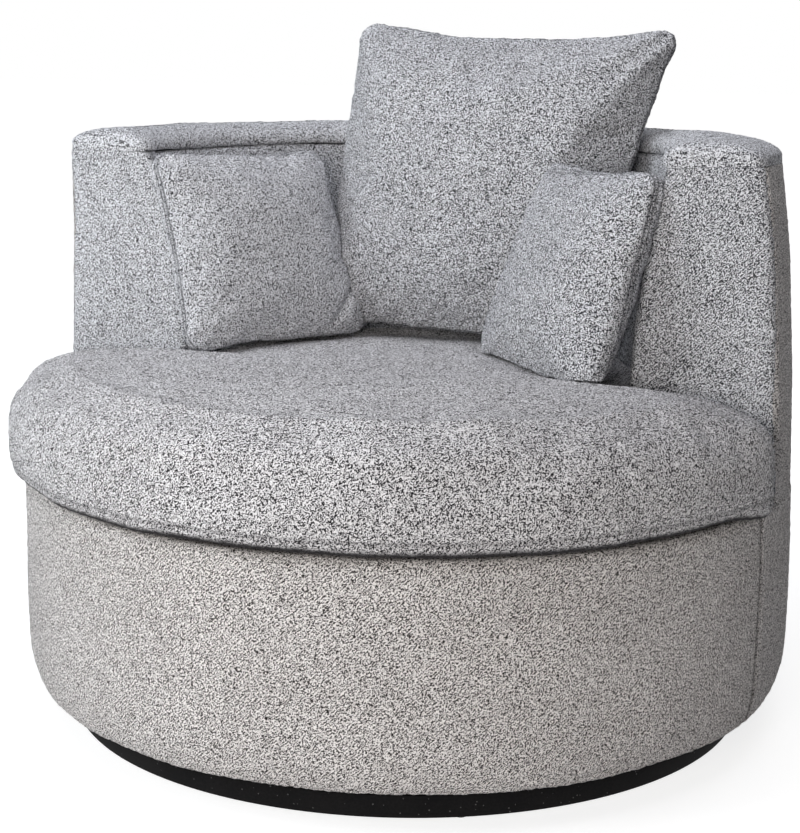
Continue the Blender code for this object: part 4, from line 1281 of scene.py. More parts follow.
def makeTopstitch(cushion, finish):
    # a row of stitches a finger's width above the seam, half sunk in the pile
    tree = treeOf(cushion)
    height = chair["seatBottom"] + seat["seamRise"] + seat["stitchRise"]
    places = []
    for step in range(361):
        angle = math.radians(-172 + 164 * step / 360)
        x, y = math.cos(angle), math.sin(angle)
        if 0.53 * y > chair["armFace"] - 0.05:
            continue
        hit, normal, _, _ = tree.ray_cast(Vector((0.7 * x, 0.7 * y, height)), Vector((-x, -y, 0)), 0.4)
        if hit is not None:
            places.append(hit - normal * 0.0001)
    curve = bpy.data.curves.new("seatTopstitch", "CURVE")
    curve.dimensions = "3D"
    path = curve.splines.new("POLY")
    path.points.add(len(places) - 1)
    for point, place in zip(path.points, places):
        point.co = (*place, 1.0)
    holder = bpy.data.objects.new("stitchPath", curve)
    scene.collection.objects.link(holder)
    addTree(holder, threadTree, finish)
    mesh = finalMesh(holder)
    bpy.data.objects.remove(holder)
    stitches = bpy.data.objects.new("seatTopstitch", mesh)
    scene.collection.objects.link(stitches)
    giveFinish(stitches, finish, "seat")


pillowEdge = {
    "rim": 0.0035, "coverRim": 0.0045,         # half the thickness at the very edge
    "held": 0.003, "heldFade": 0.005,          # what the stuffing leaves in place
    # lineMark is the depth of the painted shade in the stitched lines
    "line": 0.0032, "lineWidth": 0.0019, "lineDepth": 0.0020, "lineMark": 0.9,
    "clear": 0.002, "clearAgain": 0.0016,      # gaps to the neighbours
}
smallPillow = {
    "thickness": 0.115, "narrow": 0.0, "boxSize": (0.300, 0.280),
    "blunt": 0.36, "tilt": 0.0, "shear": 0.0, "shift": (0.0, 0.0, 0.0),
    "voxel": 0.0045, "pressure": 4.0, "stretch": 12, "bending": 0.5, "frames": 18, "cap": 0.022,
    "spare": 0.02, "start": 0.80, "fill": 0.7,
}
pillows = {
    "back": {
        "name": "backCushion", "node": "back_cushion", "body": "back_pillow",
        "size": (0.486, 0.452), "thickness": 0.180, "lean": 10.2, "turn": 0.0, "narrow": 0.15,
        "boxSize": (0.470, 0.452), "boxDraws": (0.05, 0.065, 0.004),     # the solid: sides, top and foot
        "leftDraw": 0.02, "rightDraw": 0.095, "topDraw": 0.100, "footDraw": 0.004,
        "ear": 0.034, "blunt": 0.34, "tilt": 1.1, "shear": 0.12, "shift": (0.007, 0.0, 0.004),
        "voxel": 0.0055, "pressure": 4.0, "stretch": 12, "bending": 0.6, "frames": 18, "cap": 0.026,
        "spare": 0.02, "start": 0.80, "seed": 19.0, "fill": 0.75,
    },
    "left": {
        **smallPillow,
        "name": "scatterCushionLeft", "node": "scatter_cushion_left", "body": "left_pillow",
        "size": (0.306, 0.288), "lean": 16.4, "turn": 61.7, "boxDraws": (0.055, 0.03, 0.02),
        "leftDraw": 0.05, "rightDraw": 0.045, "topDraw": 0.055, "footDraw": 0.025, "ear": 0.030,
        "corners": {     # how far each corner is pulled from the square
            (-1, 1): (-0.0037, -0.0015, -0.004), (1, 1): (-0.0125, -0.005, -0.0095),
            (1, -1): (0.0125, 0.005, -0.001),
        },
        "folds": ((0.42, -0.98, 0.92, -0.42, 0.007, 0.010),), "seed": 23.0,
    },
    "right": {
        **smallPillow,
        "name": "scatterCushionRight", "node": "scatter_cushion_right", "body": "right_pillow",
        "size": (0.302, 0.292), "lean": 17.6, "turn": -40.6, "boxDraws": (0.055, 0.05, 0.01),
        "leftDraw": 0.055, "rightDraw": 0.02, "topDraw": 0.06, "footDraw": 0.0, "ear": 0.028,
        "corners": {
            (-1, 1): (0.0245, 0.0099, -0.0142), (1, 1): (0.0, 0.0, -0.0101),
            (1, -1): (0.006, -0.036, -0.003), (-1, -1): (0.0025, 0.001, 0.0),
        },
        "seed": 29.0,
    },
}


def solidPoint(values, u, v, face):
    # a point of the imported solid, from which the cushion's place is found
    width, height = values["boxSize"]
    side, top, foot = values["boxDraws"]
    x = width / 2 * u * (1 - side * (1 - v**2)) * (1 - values["narrow"] * ((1 - v) / 2) ** 2)
    z = height / 2 * v * (1 - (top if v > 0 else foot) * (1 - u**2))
    swell = max(0.0, (1 - u**2) * (1 - v**2)) ** 0.42
    rim = pillowEdge["rim"]
    return Vector((x, face * (rim + (values["thickness"] / 2 - rim) * swell), z))


def pillowPoint(values, u, v, face, thicknessShare):
    # a point of the cover: its sides draw in or swell, and its corners are round soft ears
    width, height = values["size"]
    upDraw = values["topDraw"] if v > 0 else values["footDraw"]
    sideDraw = values["leftDraw"] if u < 0 else values["rightDraw"]
    halfWide = width / 2 * (1 - sideDraw * (1 - v**2)) * (1 - values["narrow"] * ((1 - v) / 2) ** 2)
    halfHigh = height / 2 * (1 - upDraw * (1 - u**2))
    x, z, ear = halfWide * u, halfHigh * v, values["ear"]
    overX, overZ = abs(x) - (halfWide - ear), abs(z) - (halfHigh - ear)
    if overX > 0 and overZ > 0:
        pull = max(overX, overZ) / math.hypot(overX, overZ)
        x = math.copysign(halfWide - ear + overX * pull, x)
        z = math.copysign(halfHigh - ear + overZ * pull, z)
    swell = max(0.0, (1 - u**2) * (1 - v**2)) ** values["blunt"]
    rim = pillowEdge["coverRim"]
    half = rim + (values["thickness"] / 2 - rim) * swell * thicknessShare
    return Vector((x, face * half, z))


def pillowShape(values, thicknessShare, steps):
    rows = [math.sin(math.pi / 2 * (2 * step / steps - 1)) for step in range(steps + 1)]
    points = [pillowPoint(values, u, v, face, thicknessShare) for face in (-1, 1) for v in rows for u in rows]
    wide = steps + 1
    half = wide * wide
    faces = gridFaces(steps, steps) + gridFaces(steps, steps, half)
    rim = list(range(steps))
    rim += [row * wide + steps for row in range(steps)]
    rim += [steps * wide + column for column in range(steps, 0, -1)]
    rim += [row * wide for row in range(steps, 0, -1)]
    for number, corner in enumerate(rim):
        after = rim[(number + 1) % len(rim)]
        faces.append((corner, after, after + half, corner + half))
    obj = newPiece(values["name"], points, faces)
    turnOutwards(obj)
    return obj


def pillowPlace(values):
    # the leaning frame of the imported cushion: its turn, and its middle from the solid's box
    turn = Euler((-math.radians(values["lean"]), 0, math.radians(values["turn"]))).to_matrix()
    corners = []
    for face in (-1, 1):
        for row in range(15):
            for column in range(15):
                u, v = math.sin(math.pi / 2 * (column / 7 - 1)), math.sin(math.pi / 2 * (row / 7 - 1))
                corners.append(turn @ solidPoint(values, u, v, face))
    low = Vector(min(c[axis] for c in corners) for axis in range(3))
    high = Vector(max(c[axis] for c in corners) for axis in range(3))
    boxLow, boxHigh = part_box(values["node"])
    middle = (Vector(boxLow) + Vector(boxHigh)) / 2 - (low + high) / 2
    tilt = Matrix.Rotation(math.radians(values["tilt"]), 3, "Y")
    return turn @ tilt, middle + Vector(values["shift"])


def makePillow(values, finish, neighbours):
    obj = pillowShape(values, values["start"], 48)
    evenMesh(obj, values["voxel"])
    points = getPoints(obj.data)
    held = np.clip(1 - (np.abs(points[:, 1]) - pillowEdge["held"]) / pillowEdge["heldFade"], 0, 1)
    stuff(obj, values, held)
    relax(obj, 2, 0.5)
    points = getPoints(obj.data)
    reach = np.abs(points[:, 1]).max()
    points[:, 1] *= values["thickness"] / 2 / reach
    setPoints(obj.data, points)
    shapePillow(obj, values)
    points = getPoints(obj.data)
    points[:, 0] += values["shear"] * (points[:, 2] - values["size"][1] / 2)
    setPoints(obj.data, points)
    turn, middle = pillowPlace(values)
    u, v = points[:, 0] / values["size"][0] * 2, points[:, 2] / values["size"][1] * 2
    obj.data.transform(Matrix.Translation(middle) @ turn.to_4x4())
    points = getPoints(obj.data)
    for (sideU, sideV), pull in values.get("corners", {}).items():
        near = np.clip(0.5 + 0.5 * sideU * u, 0, 1) * np.clip(0.5 + 0.5 * sideV * v, 0, 1)
        points += near[:, None] * np.array(pull)
    setPoints(obj.data, points)
    moved = keepClear(obj, neighbours, pillowEdge["clear"])
    relax(obj, 1, 0.3)
    keepClear(obj, neighbours, pillowEdge["clearAgain"])
    subdivide(obj)
    sewEdge(obj, turn, middle)
    inverse = np.array(turn.inverted())
    centre = np.array(middle)
    mapWeave(obj, lambda points: ((points - centre) @ inverse.T)[:, [0, 2]])
    runTree(obj, pileTree, finish, {"Seed": values["seed"], "Wave size": 0.07, "Wave height": 0.0024})
    giveFinish(obj, finish, values["body"], [values["node"]])
    report(f"{values['name']}: {len(obj.data.polygons)} faces, {moved} points kept clear")
    return obj


def shapePillow(obj, values):
    # folds that the photographed cushion shows, pressed into its face: two ends, width and depth
    halves = np.array(values["size"]) / 2
    for startU, startV, stopU, stopV, width, depth in values.get("folds", ()):
        points = getPoints(obj.data)
        start = np.array((startU, startV)) * halves
        along = np.array((stopU, stopV)) * halves - start
        flat = points[:, [0, 2]] - start
        share = np.clip((flat @ along) / (along @ along), 0, 1)
        away = np.linalg.norm(flat - share[:, None] * along, axis=1)
        taper = np.sin(np.pi * np.clip(share * 0.9 + 0.05, 0, 1)) ** 0.6
        press = depth * np.exp(-((away / width) ** 2)) * taper * (points[:, 1] < 0)
        points[:, 1] += press
        setPoints(obj.data, points)


def sewEdge(obj, turn, middle):
    # the two faces meet in a thin lip between two stitched lines, all round the edge
    points, normals = getPoints(obj.data), getNormals(obj.data)
    inverse, centre = np.array(turn.inverted()), np.array(middle)
    depthwise = ((points - centre) @ inverse.T)[:, 1]
    local = normals @ inverse.T
    facing = np.clip(np.hypot(local[:, 0], local[:, 2]) - 0.45, 0, 0.4) / 0.4
    line, width = pillowEdge["line"], pillowEdge["lineWidth"]
    lines = np.maximum(nearSeam(depthwise - line, width), nearSeam(depthwise + line, width)) * facing
    setPoints(obj.data, points - normals * (pillowEdge["lineDepth"] * lines)[:, None])
    # the stitched lines take painted shade
    paintShade(obj, pillowEdge["lineMark"] * lines)


plinth = {"radius": 0.4625, "foot": 0.0016, "top": 0.0303, "wall": 0.018, "edge": 0.0012, "glides": 6}
glideProfile = ((0.0, 0.0003), (0.0055, 0.0), (0.0075, 0.0006), (0.008, 0.0015), (0.008, 0.003), (0.0, 0.003))


def latheShape(name, profile, steps):
    points = []
    for step in range(steps):
        angle = math.tau * step / steps
        points += [(r * math.cos(angle), r * math.sin(angle), z) for r, z in profile]
    obj = newPiece(name, points, ringFaces(steps, len(profile), closed=True))
    editMesh(obj, lambda shape: bmesh.ops.remove_doubles(shape, verts=shape.verts, dist=1e-6))
    turnOutwards(obj)
    return obj


def softCorners(profile, edge):
    # trims each corner of a closed profile with two short chamfers
    rounded = []
    count = len(profile)
    for index in range(count):
        corner = Vector(profile[index])
        before = (Vector(profile[index - 1]) - corner).normalized() * edge
        after = (Vector(profile[(index + 1) % count]) - corner).normalized() * edge
        rounded += [tuple(corner + before), tuple(corner + (before + after) * 0.293), tuple(corner + after)]
    return rounded


def makePlinth(paint, nylon):
    values = plinth
    inner, outer = values["radius"] - values["wall"], values["radius"]
    foot, top = values["foot"], values["top"]
    hoop = [(inner, foot), (outer, foot), (outer, top), (inner, top)]
    obj = latheShape("plinthHoop", softCorners(hoop, values["edge"]), 160)
    smoothShade(obj, 40)
    giveFinish(obj, paint, "plinth", ["plinth_hoop"])
    glide = latheShape("glideSource", glideProfile, 20)
    smoothShade(glide, 40)
    count = values["glides"]
    glides = ringOf("plinthGlides", glide, nylon, count, outer - values["wall"] / 2, 0.0, 0.0)
    giveFinish(glides, nylon, "plinth", [f"glide_{n}" for n in range(1, count + 1)])


dustCloth = {
    "inner": 0.1722, "outer": 0.4895, "height": 0.0605, "thickness": 0.0006, "sag": 0.0016,
    "staples": 54, "stapleCircle": 0.4835, "stapleTurn": 0.03, "stapleHeight": 0.0595,
    "stapleWidths": (-0.0006, 0.0006), "stapleEnds": (-0.0055, 0.0055), "stapleDepths": (-0.0006, 0.0001),
}
blockFaces = [(0, 1, 3, 2), (4, 6, 7, 5), (0, 4, 5, 1), (2, 3, 7, 6), (0, 2, 6, 4), (1, 5, 7, 3)]


def makeDustCloth(cloth, steel):
    # thin cloth stapled under the drum, with a slight sag between its two edges
    values = dustCloth
    inner, outer, thick = values["inner"], values["outer"], values["thickness"]
    profile = []
    for step in range(19):
        share = step / 18
        sag = values["sag"] * math.sin(math.pi * share)
        profile.append((blendTo(inner, outer, share), values["height"] - thick - sag))
    profile += [(r, z + thick) for r, z in reversed(profile)]
    obj = latheShape("dustCloth", profile, 160)
    smoothShade(obj)
    giveFinish(obj, cloth, "shell", ["dust_cloth"])
    widths, ends, depths = values["stapleWidths"], values["stapleEnds"], values["stapleDepths"]
    staple = newPiece("stapleSource", [(x, y, z) for x in widths for y in ends for z in depths], blockFaces)
    turnOutwards(staple)
    circle, turn, height = values["stapleCircle"], values["stapleTurn"], values["stapleHeight"]
    staples = ringOf("dustClothStaples", staple, steel, values["staples"], circle, turn, height)
    giveFinish(staples, steel, "shell")


deck = {
    "along": {"Count": 5, "Pitch": 0.1300, "Height": 0.3158},
    "across": {"Count": 4, "Pitch": 0.1700, "Height": 0.3137},
    "strap": {"Width": 0.05, "Thickness": 0.0018, "Reach": 0.4547},
    "staple": {"Length": 0.011, "Wire": 0.0009},
    "stapleInset": 0.008, "stapleSpread": 0.015,
}


def strapRowTree(turned):
    # flat straps side by side, each as long as the round deck is at its place
    key = "across" if turned else "along"
    tree, start, end = newTree("strapRow" + key.capitalize(), {**deck[key], **deck["strap"]})
    given = start.outputs
    line = addNode(tree, "GeometryNodeMeshLine", values={"Count": given["Count"], "Offset": (0.0, 0.0, 0.0)})
    index = addNode(tree, "GeometryNodeInputIndex")
    last = mathNode(tree, "SUBTRACT", given["Count"], 1.0)
    step = mathNode(tree, "SUBTRACT", index.outputs[0], mathNode(tree, "MULTIPLY", last, 0.5))
    offset = mathNode(tree, "MULTIPLY", step, given["Pitch"])
    edge = mathNode(tree, "MULTIPLY_ADD", given["Width"], 0.5, mathNode(tree, "ABSOLUTE", offset))
    reachSquare = mathNode(tree, "MULTIPLY", given["Reach"], given["Reach"])
    half = mathNode(tree, "SUBTRACT", reachSquare, mathNode(tree, "MULTIPLY", edge, edge))
    length = mathNode(tree, "MULTIPLY", mathNode(tree, "SQRT", half), 2.0)
    sides = {"Y" if turned else "X": given["Width"], "X" if turned else "Y": length, "Z": given["Thickness"]}
    place = addNode(
        tree, "ShaderNodeCombineXYZ", values={"Y" if turned else "X": offset, "Z": given["Height"]}
    )
    size = addNode(tree, "ShaderNodeCombineXYZ", values=sides)
    points = addNode(
        tree, "GeometryNodeSetPosition", values={"Geometry": line.outputs[0], "Position": place.outputs[0]}
    )
    cuts = (60, 7) if turned else (7, 60)
    strap = addNode(
        tree, "GeometryNodeMeshCube",
        values={"Size": (1.0, 1.0, 1.0), "Vertices X": cuts[0], "Vertices Y": cuts[1]},
    )
    straps = addNode(
        tree, "GeometryNodeInstanceOnPoints",
        values={"Points": points.outputs[0], "Instance": strap.outputs["Mesh"], "Scale": size.outputs[0]},
    )
    finishTree(tree, start, end, straps.outputs[0])
    return tree


def makeStraps(finish, steel):
    halfWidth, reach = deck["strap"]["Width"] / 2, deck["strap"]["Reach"]
    staples = []
    for key, across, node in (("along", 0, "long_strap_"), ("across", 1, "cross_strap_")):
        values = deck[key]
        straps = newPiece("straps" + key.capitalize(), [(0, 0, 0)], [])
        runTree(straps, strapRowTree(across == 1), finish, values)
        points = getPoints(straps.data)
        number = np.round(points[:, across] / values["Pitch"] + (values["Count"] - 1) / 2)
        middles = (number - (values["Count"] - 1) / 2) * values["Pitch"]
        # long edges are pressed a little thinner, as woven tape is
        side = np.abs(points[:, across] - middles) / halfWidth
        points[:, 2] += np.where(side > 0.95, (values["Height"] - points[:, 2]) * 0.35, 0.0)
        setPoints(straps.data, points)
        mapWeave(straps, lambda p: np.column_stack([p[:, across] - middles, p[:, 1 - across]]))
        giveFinish(straps, finish, "shell", [f"{node}{n + 1}" for n in range(values["Count"])])
        for middle in sorted(set(np.round(middles, 4))):
            half = math.sqrt(reach**2 - (abs(middle) + halfWidth) ** 2) - deck["stapleInset"]
            for end in (-half, half):
                for aside in (-deck["stapleSpread"], 0.0, deck["stapleSpread"]):
                    place = (end, middle + aside) if across else (middle + aside, end)
                    staples.append((*place, values["Height"] + 0.00086))
    holder = newPiece("strapStaples", staples, [])
    runTree(holder, stapleTree(), steel)
    giveFinish(holder, steel, "shell")


def stapleTree():
    # a flat staple crown lies at every point, across the middle of the chair
    tree, start, end = newTree("stapleCrowns", deck["staple"])
    cloud = addNode(tree, "GeometryNodeMeshToPoints", values={0: start.outputs["Geometry"]})
    wire = start.outputs["Wire"]
    size = addNode(
        tree, "ShaderNodeCombineXYZ",
        values={"X": start.outputs["Length"], "Y": wire, "Z": mathNode(tree, "MULTIPLY", wire, 0.35)},
    )
    place = addNode(tree, "GeometryNodeInputPosition")
    split = addNode(tree, "ShaderNodeSeparateXYZ", values={0: place.outputs[0]})
    angle = mathNode(tree, "ARCTAN2", split.outputs[1], split.outputs[0])
    turn = addNode(tree, "ShaderNodeCombineXYZ", values={"Z": mathNode(tree, "ADD", angle, math.pi / 2)})
    crown = addNode(tree, "GeometryNodeMeshCube", values={"Size": (1.0, 1.0, 1.0), "Vertices X": 4})
    crowns = addNode(
        tree, "GeometryNodeInstanceOnPoints",
        values={
            "Points": cloud.outputs[0], "Instance": crown.outputs["Mesh"],
            "Rotation": turn.outputs[0], "Scale": size.outputs[0],
        },
    )
    finishTree(tree, start, end, crowns.outputs[0])
    return tree


deckPad = {"voxel": 0.004, "thinnest": 0.93, "uneven": 0.05}


def makeDeckPad(finish):
    # the felt keeps the solid's notches for the posts
    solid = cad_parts["deck_pad"].data
    pad = newPiece("deckPad", [v.co for v in solid.vertices], [tuple(f.vertices) for f in solid.polygons])

    def mend(shape):
        bmesh.ops.remove_doubles(shape, verts=shape.verts, dist=1e-5)
        bmesh.ops.dissolve_limit(shape, angle_limit=0.01, verts=shape.verts, edges=shape.edges)
        bmesh.ops.triangulate(shape, faces=shape.faces)
        bmesh.ops.recalc_face_normals(shape, faces=shape.faces)

    editMesh(pad, mend)
    evenMesh(pad, deckPad["voxel"])
    points = getPoints(pad.data)
    middle = 0.5 * (points[:, 2].min() + points[:, 2].max())
    # a fluffed, slightly uneven face, which never passes the space of the solid
    wave = np.sin(points[:, 0] * 61 + 1.3) * np.sin(points[:, 1] * 53 + 0.4) * 0.5 + 0.5
    points[:, 2] = middle + (points[:, 2] - middle) * (deckPad["thinnest"] + deckPad["uneven"] * wave)
    setPoints(pad.data, points)
    relax(pad, 1, 0.4)
    smoothShade(pad)
    giveFinish(pad, finish, "shell", ["deck_pad"])


swivel = {
    "screwCircle": 0.142, "shank": 0.0022, "head": 0.0045, "headHeight": 0.0022, "length": 0.0121,
    "pitch": 0.0011,       # of the screws' thread
    "cross": 0.0011, "crossDepth": 0.0022,
    "plinthScrewTop": 0.0479, "frameScrewFoot": 0.0556,
    "race": 0.112, "ball": 0.00475, "ballCount": 12, "ballHeight": 0.05175,
    "cage": 0.0016, "cageSide": 0.012,
}


def screwShape(values):
    # a pan head with a cross recess, on a shank with thread turns
    shank, head, tall, foot = values["shank"], values["head"], values["headHeight"], -values["length"]
    profile = [(0.0, foot), (shank * 0.35, foot + 0.0005)]
    height = foot + 0.0018
    while height < -0.0016:
        profile += [(shank * 0.80, height - 0.0003), (shank, height)]
        height += values["pitch"]
    profile += [
        (shank * 0.85, -0.0009), (shank, -0.0001), (head, 0.0), (head, tall * 0.35),
        (head * 0.9, tall * 0.68), (head * 0.68, tall * 0.9), (head * 0.35, tall), (0.0, tall),
    ]
    screw = latheShape("screwSource", profile, 24)
    cutter = newPiece("recess", [], [])
    bar = Matrix.Diagonal((head * 1.1, values["cross"], values["crossDepth"], 1))

    def addBars(shape):
        for turn in (0, math.pi / 2):
            place = Matrix.Translation((0, 0, tall)) @ Matrix.Rotation(turn, 4, "Z") @ bar
            bmesh.ops.create_cube(shape, size=1, matrix=place)

    editMesh(cutter, addBars)
    cut = screw.modifiers.new("recess", "BOOLEAN")
    cut.operation = "DIFFERENCE"
    cut.solver = "EXACT"
    cut.use_self = True
    cut.object = cutter
    bake(screw)
    bpy.data.objects.remove(cutter)
    return screw


def makeSwivelParts(steel):
    values = swivel
    for name, node, body, level, over in (
        ("plinthScrews", "plinth_screw_", "plinth", values["plinthScrewTop"] - values["headHeight"], False),
        ("frameScrews", "frame_screw_", "shell", values["frameScrewFoot"] + values["headHeight"], True),
    ):
        screw = screwShape(values)
        if over:
            screw.data.transform(Matrix.Rotation(math.pi, 4, "X"))
        smoothShade(screw, 35)
        screws = ringOf(name, screw, steel, 4, values["screwCircle"], math.pi / 4, level)
        giveFinish(screws, steel, body, [f"{node}{n}" for n in range(1, 5)])
    # the cage is a flat ring, and its balls lie evenly round it
    half = values["cage"] / 2
    inner, outer = values["race"] - values["cageSide"], values["race"] + values["cageSide"]
    flat = [(inner, -half), (outer, -half), (outer, half), (inner, half)]
    cage = latheShape("ballCage", softCorners([(r, z + values["ballHeight"]) for r, z in flat], 0.0003), 160)
    smoothShade(cage, 40)
    giveFinish(cage, steel, "cage", ["ball_cage"])
    angles = np.linspace(-math.pi / 2, math.pi / 2, 13)
    profile = [(values["ball"] * math.cos(a), values["ball"] * math.sin(a)) for a in angles]
    ball = latheShape("ballSource", profile, 18)
    smoothShade(ball)
    balls = ringOf("cageBalls", ball, steel, values["ballCount"], values["race"], 0.0, values["ballHeight"])
    giveFinish(balls, steel, "cage")


def dressSolids(looks):
    for name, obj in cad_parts.items():
        for start, finish in looks:
            if name.startswith(start):
                for slotItem in obj.material_slots:
                    slotItem.material = finish


photoView = {
    "turn": 0.3787, "height": 0.9003, "distance": 2.4767, "focalPixels": 1831.035,
    "tiltDown": 0.2036, "aside": 0.0051, "roll": 0.0092, "longSide": 833,
}


def addCamera(values):
    turn, tilt, distance = values["turn"], values["tiltDown"], values["distance"]
    place = Vector((distance * math.sin(turn), -distance * math.cos(turn), values["height"]))
    heading, flat = turn + values["aside"], math.cos(tilt)
    forward = Vector((-math.sin(heading) * flat, math.cos(heading) * flat, -math.sin(tilt)))
    level = forward.cross(Vector((0, 0, 1))).normalized()
    above = level.cross(forward)
    c, s = math.cos(values["roll"]), math.sin(values["roll"])
    right, up = level * c + above * s, above * c - level * s
    data = bpy.data.cameras.new("photoCamera")
    camera = bpy.data.objects.new("photoCamera", data)
    camera.matrix_world = Matrix((
        (right.x, up.x, -forward.x, place.x),
        (right.y, up.y, -forward.y, place.y),
        (right.z, up.z, -forward.z, place.z),
        (0, 0, 0, 1),
    ))
    data.sensor_width = 36
    data.lens = 36 * values["focalPixels"] / values["longSide"]
    scene.collection.objects.link(camera)
    scene.camera = camera


lights = {
    "key": {
        "place": (-1.5, -1.5, 1.3), "aim": (0.0, 0.0, 0.45),
        "size": 1.1, "power": 21, "colour": (0.90, 0.96, 1.0),
    },
    "top": {
        "place": (-0.2, -0.3, 2.8), "aim": (0.0, 0.0, 0.4),
        "size": 2.6, "power": 39, "colour": (0.93, 0.94, 1.0),
    },
    "front": {
        "place": (0.5, -2.9, 1.0), "aim": (0.0, 0.0, 0.45),
        "size": 1.0, "power": 35, "colour": (1.0, 0.955, 0.91),
    },
    "back": {
        "place": (0.6, 2.6, 2.0), "aim": (0.0, 0.0, 0.6),
        "size": 1.8, "power": 22, "colour": (0.96, 0.97, 1.0),
    },
}
surroundings = {"colour": (1.0, 0.98, 0.97), "strength": 0.02}


def seenDirectly(tree):
    # 1 for what the camera sees itself, in a mirror or through glass
    rays = tree.nodes.new("ShaderNodeLightPath").outputs
    seen = mathNode(tree, "MAXIMUM", rays["Is Camera Ray"], rays["Is Glossy Ray"])
    return mathNode(tree, "MAXIMUM", seen, rays["Is Transmission Ray"])


def addLights():
    for name, values in lights.items():
        lamp = bpy.data.lights.new(name + "Light", "AREA")
        lamp.shape = "SQUARE"
        lamp.size = values["size"]
        lamp.energy = values["power"]
        lamp.color = values["colour"]
        obj = bpy.data.objects.new(name + "Light", lamp)
        obj.location = values["place"]
        direction = Vector(values["aim"]) - Vector(values["place"])
        obj.rotation_euler = direction.to_track_quat("-Z", "Y").to_euler()
        scene.collection.objects.link(obj)
    world = bpy.data.worlds.new("studio")
    scene.world = world
    world.use_nodes = True
    tree = world.node_tree
    tree.nodes.clear()
    colour, strength = surroundings["colour"], surroundings["strength"]
    soft = addNode(tree, "ShaderNodeBackground", values={"Color": (*colour, 1), "Strength": strength})
    white = addNode(tree, "ShaderNodeBackground", values={"Color": (1, 1, 1, 1), "Strength": 1.0})
    seen = seenDirectly(tree)
    both = addNode(tree, "ShaderNodeMixShader", values={0: seen, 1: soft.outputs[0], 2: white.outputs[0]})
    end = tree.nodes.new("ShaderNodeOutputWorld")
    tree.links.new(both.outputs[0], end.inputs[0])


floorLook = {
    "reach": 30, "level": -0.0005, "matt": 0.8,
    "seenMatt": 0.45, "glow": 0.80, "glowRise": 0.22, "near": 0.7, "far": 2.0,    # for the camera
}


def addFloor():
    # matt near the chair, where its shadow lies, and plain white for the camera further away
    corners = ((-1, -1), (1, -1), (1, 1), (-1, 1))
    reach, level = floorLook["reach"], floorLook["level"]
    floor = newPiece("studioFloor", [(reach * x, reach * y, level) for x, y in corners], [(0, 1, 2, 3)])
    material = bpy.data.materials.new("paleFloor")
    material.use_nodes = True
    tree = material.node_tree
    tree.nodes.clear()
    seen = seenDirectly(tree)
    coordinates = addNode(tree, "ShaderNodeTexCoord")
    away = addNode(tree, "ShaderNodeVectorMath", {"operation": "LENGTH"}, {0: coordinates.outputs["Object"]})
    far = rampNode(tree, away.outputs["Value"], floorLook["near"], floorLook["far"])
    strength = mathNode(tree, "MULTIPLY_ADD", far, floorLook["glowRise"], floorLook["glow"])
    matte = addNode(tree, "ShaderNodeBsdfDiffuse", values={"Color": (*[floorLook["matt"]] * 3, 1)})
    shown = addNode(tree, "ShaderNodeBsdfDiffuse", values={"Color": (*[floorLook["seenMatt"]] * 3, 1)})
    glow = addNode(tree, "ShaderNodeEmission", values={"Color": (1, 1, 1, 1), "Strength": strength})
    lit = addNode(tree, "ShaderNodeAddShader", values={0: shown.outputs[0], 1: glow.outputs[0]})
    both = addNode(tree, "ShaderNodeMixShader", values={0: seen, 1: matte.outputs[0], 2: lit.outputs[0]})
    end = tree.nodes.new("ShaderNodeOutputMaterial")
    tree.links.new(both.outputs[0], end.inputs[0])
    floor.data.materials.append(material)


addCamera(photoView)
addLights()
addFloor()
scene.view_settings.view_transform = "Standard"
report("camera, floor and light stand")

# every cover has its own place in the pattern, slant of rows and share of dark. The warm tone of the drum and
# the cool tone of the upper pieces are painted light, and so are the lighter left and darker right facings
# and small cushions.
clothLooks = {
    "boucleDrum": {
        "offset": (0.0, 0.0, 0.0), "rows": 0.5, "tone": "warmPaintedLight",
        "loopSize": 0.0015, "dome": 0.2, "gap": 0.459, "contrast": 0.037,
    },
    "boucleLining": {"offset": (0.31, 0.17, 0.05), "rows": 0.3},
    "boucleRoll": {"offset": (0.19, 0.37, 0.15), "rows": 0.3, "gap": 0.443},
    # the left facing's lower share of dark is painted light
    "boucleFacingLeft": {
        "offset": (0.13, 0.41, 0.09), "rows": 0.4,
        "loopSize": 0.0015, "dome": 0.25, "gap": 0.447, "contrast": 0.05,
    },
    # the right facing's higher share of dark is painted shade
    "boucleFacingRight": {
        "offset": (0.63, 0.21, 0.29), "rows": 0.5,
        "loopSize": 0.0015, "dome": 0.25, "gap": 0.468, "contrast": 0.05,
    },
    "boucleSeat": {
        "offset": (0.53, 0.11, 0.07), "rows": 0.35,
        "tone": "even", "dome": 0.3, "gap": 0.458, "contrast": 0.05,
    },
    "bouclePillow": {"offset": (0.71, 0.23, 0.19), "rows": 0.15, "gap": 0.457},
    # the left small cushion's lower share of dark is painted light, and the right one's higher share is
    # painted shade
    "boucleSmallLeft": {"offset": (0.27, 0.63, 0.49), "rows": 0.15, "gap": 0.430},
    "boucleSmallRight": {"offset": (0.47, 0.13, 0.59), "rows": 0.2, "gap": 0.466},
}
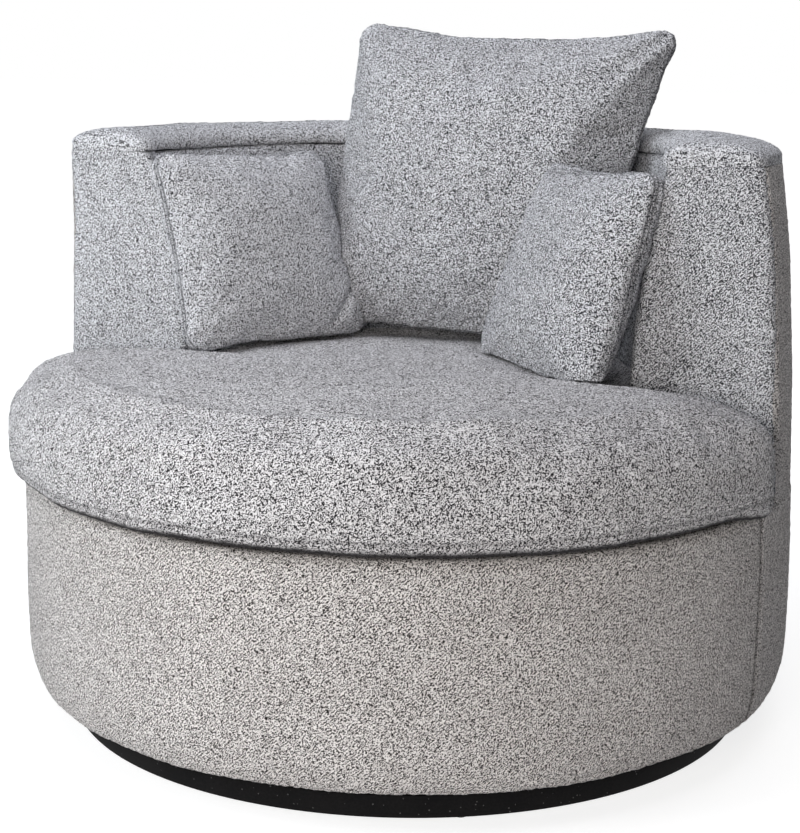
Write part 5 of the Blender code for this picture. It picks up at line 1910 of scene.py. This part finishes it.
plainLooks = {
    "blackPaint": {
        "base": (0.004, 0.004, 0.0045), "second": (0.010, 0.0095, 0.010), "scale": 320.0, "roughness": 0.85,
        "bumpDepth": 0.0002, "specks": 0.16, "gloss": 0.15,
    },
    "blackNylon": {
        "base": (0.02, 0.02, 0.02), "second": (0.035, 0.035, 0.035), "scale": 500.0, "roughness": 0.5,
    },
    "dustClothFibre": {
        "base": (0.008, 0.008, 0.009), "second": (0.03, 0.03, 0.031), "scale": 900.0, "roughness": 0.9,
        "stretch": (1, 0.35, 1),
    },
    "zincPlate": {
        "base": (0.62, 0.62, 0.60), "second": (0.48, 0.48, 0.47), "scale": 260.0, "roughness": 0.38,
        "metallic": 1.0, "bumpDepth": 0.0001,
    },
    "greyFelt": {
        "base": (0.22, 0.22, 0.23), "second": (0.42, 0.42, 0.43), "scale": 420.0, "roughness": 0.95,
        "bumpDepth": 0.0006,
    },
    "greyThread": {
        "base": (0.30, 0.30, 0.31), "second": (0.5, 0.5, 0.51), "scale": 1500.0, "roughness": 0.8,
        "bumpDepth": 0.0002,
    },
}
yarnGroup = boucleGroup()
cloths = {name: boucleFinish(name, yarnGroup, **values) for name, values in clothLooks.items()}
plain = {name: grainyFinish(name, **values) for name, values in plainLooks.items()}
boardFinish = plywoodFinish("plywoodFlat", True)
postFinish = plywoodFinish("plywoodUpright", False)
webFinish = webbingFinish()
pileTree = loopPileTree()
threadTree = stitchTree()
report("finishes are mixed")

makeDrumFront(cloths["boucleDrum"])
makeOuterBack(cloths["boucleDrum"])
lining = makeInnerLining(cloths["boucleLining"])
roll = makeTopRoll(cloths["boucleRoll"])
makeArmFacing("armFacingLeft", -1, cloths["boucleFacingLeft"], "arm_facing_left")
makeArmFacing("armFacingRight", 1, cloths["boucleFacingRight"], "arm_facing_right")
report("drum and wall are covered")

seatCushion = makeSeat(cloths["boucleSeat"])
report(f"seat cushion: {len(seatCushion.data.polygons)} faces")
wallTrees = [treeOf(lining), treeOf(roll)]
seatTree = treeOf(seatCushion)
backCushion = makePillow(pillows["back"], cloths["bouclePillow"], wallTrees + [seatTree])
backTree = treeOf(backCushion)
for key in ("left", "right"):
    makePillow(pillows[key], cloths["boucleSmall" + key.capitalize()], wallTrees + [seatTree, backTree])
report("cushions are stuffed")

makePlinth(plain["blackPaint"], plain["blackNylon"])
makeDustCloth(plain["dustClothFibre"], plain["zincPlate"])
makeStraps(webFinish, plain["zincPlate"])
makeDeckPad(plain["greyFelt"])
makeSwivelParts(plain["zincPlate"])
makeTopstitch(seatCushion, plain["greyThread"])
dressSolids((
    ("plinth_board", plain["blackPaint"]), ("swivel_plate", plain["zincPlate"]), ("floor_board", boardFinish),
    ("deck_hoop", boardFinish), ("top_rail", boardFinish), ("drum_post", postFinish),
    ("back_post", postFinish), ("arm_board", postFinish),
))
report("frame is finished")
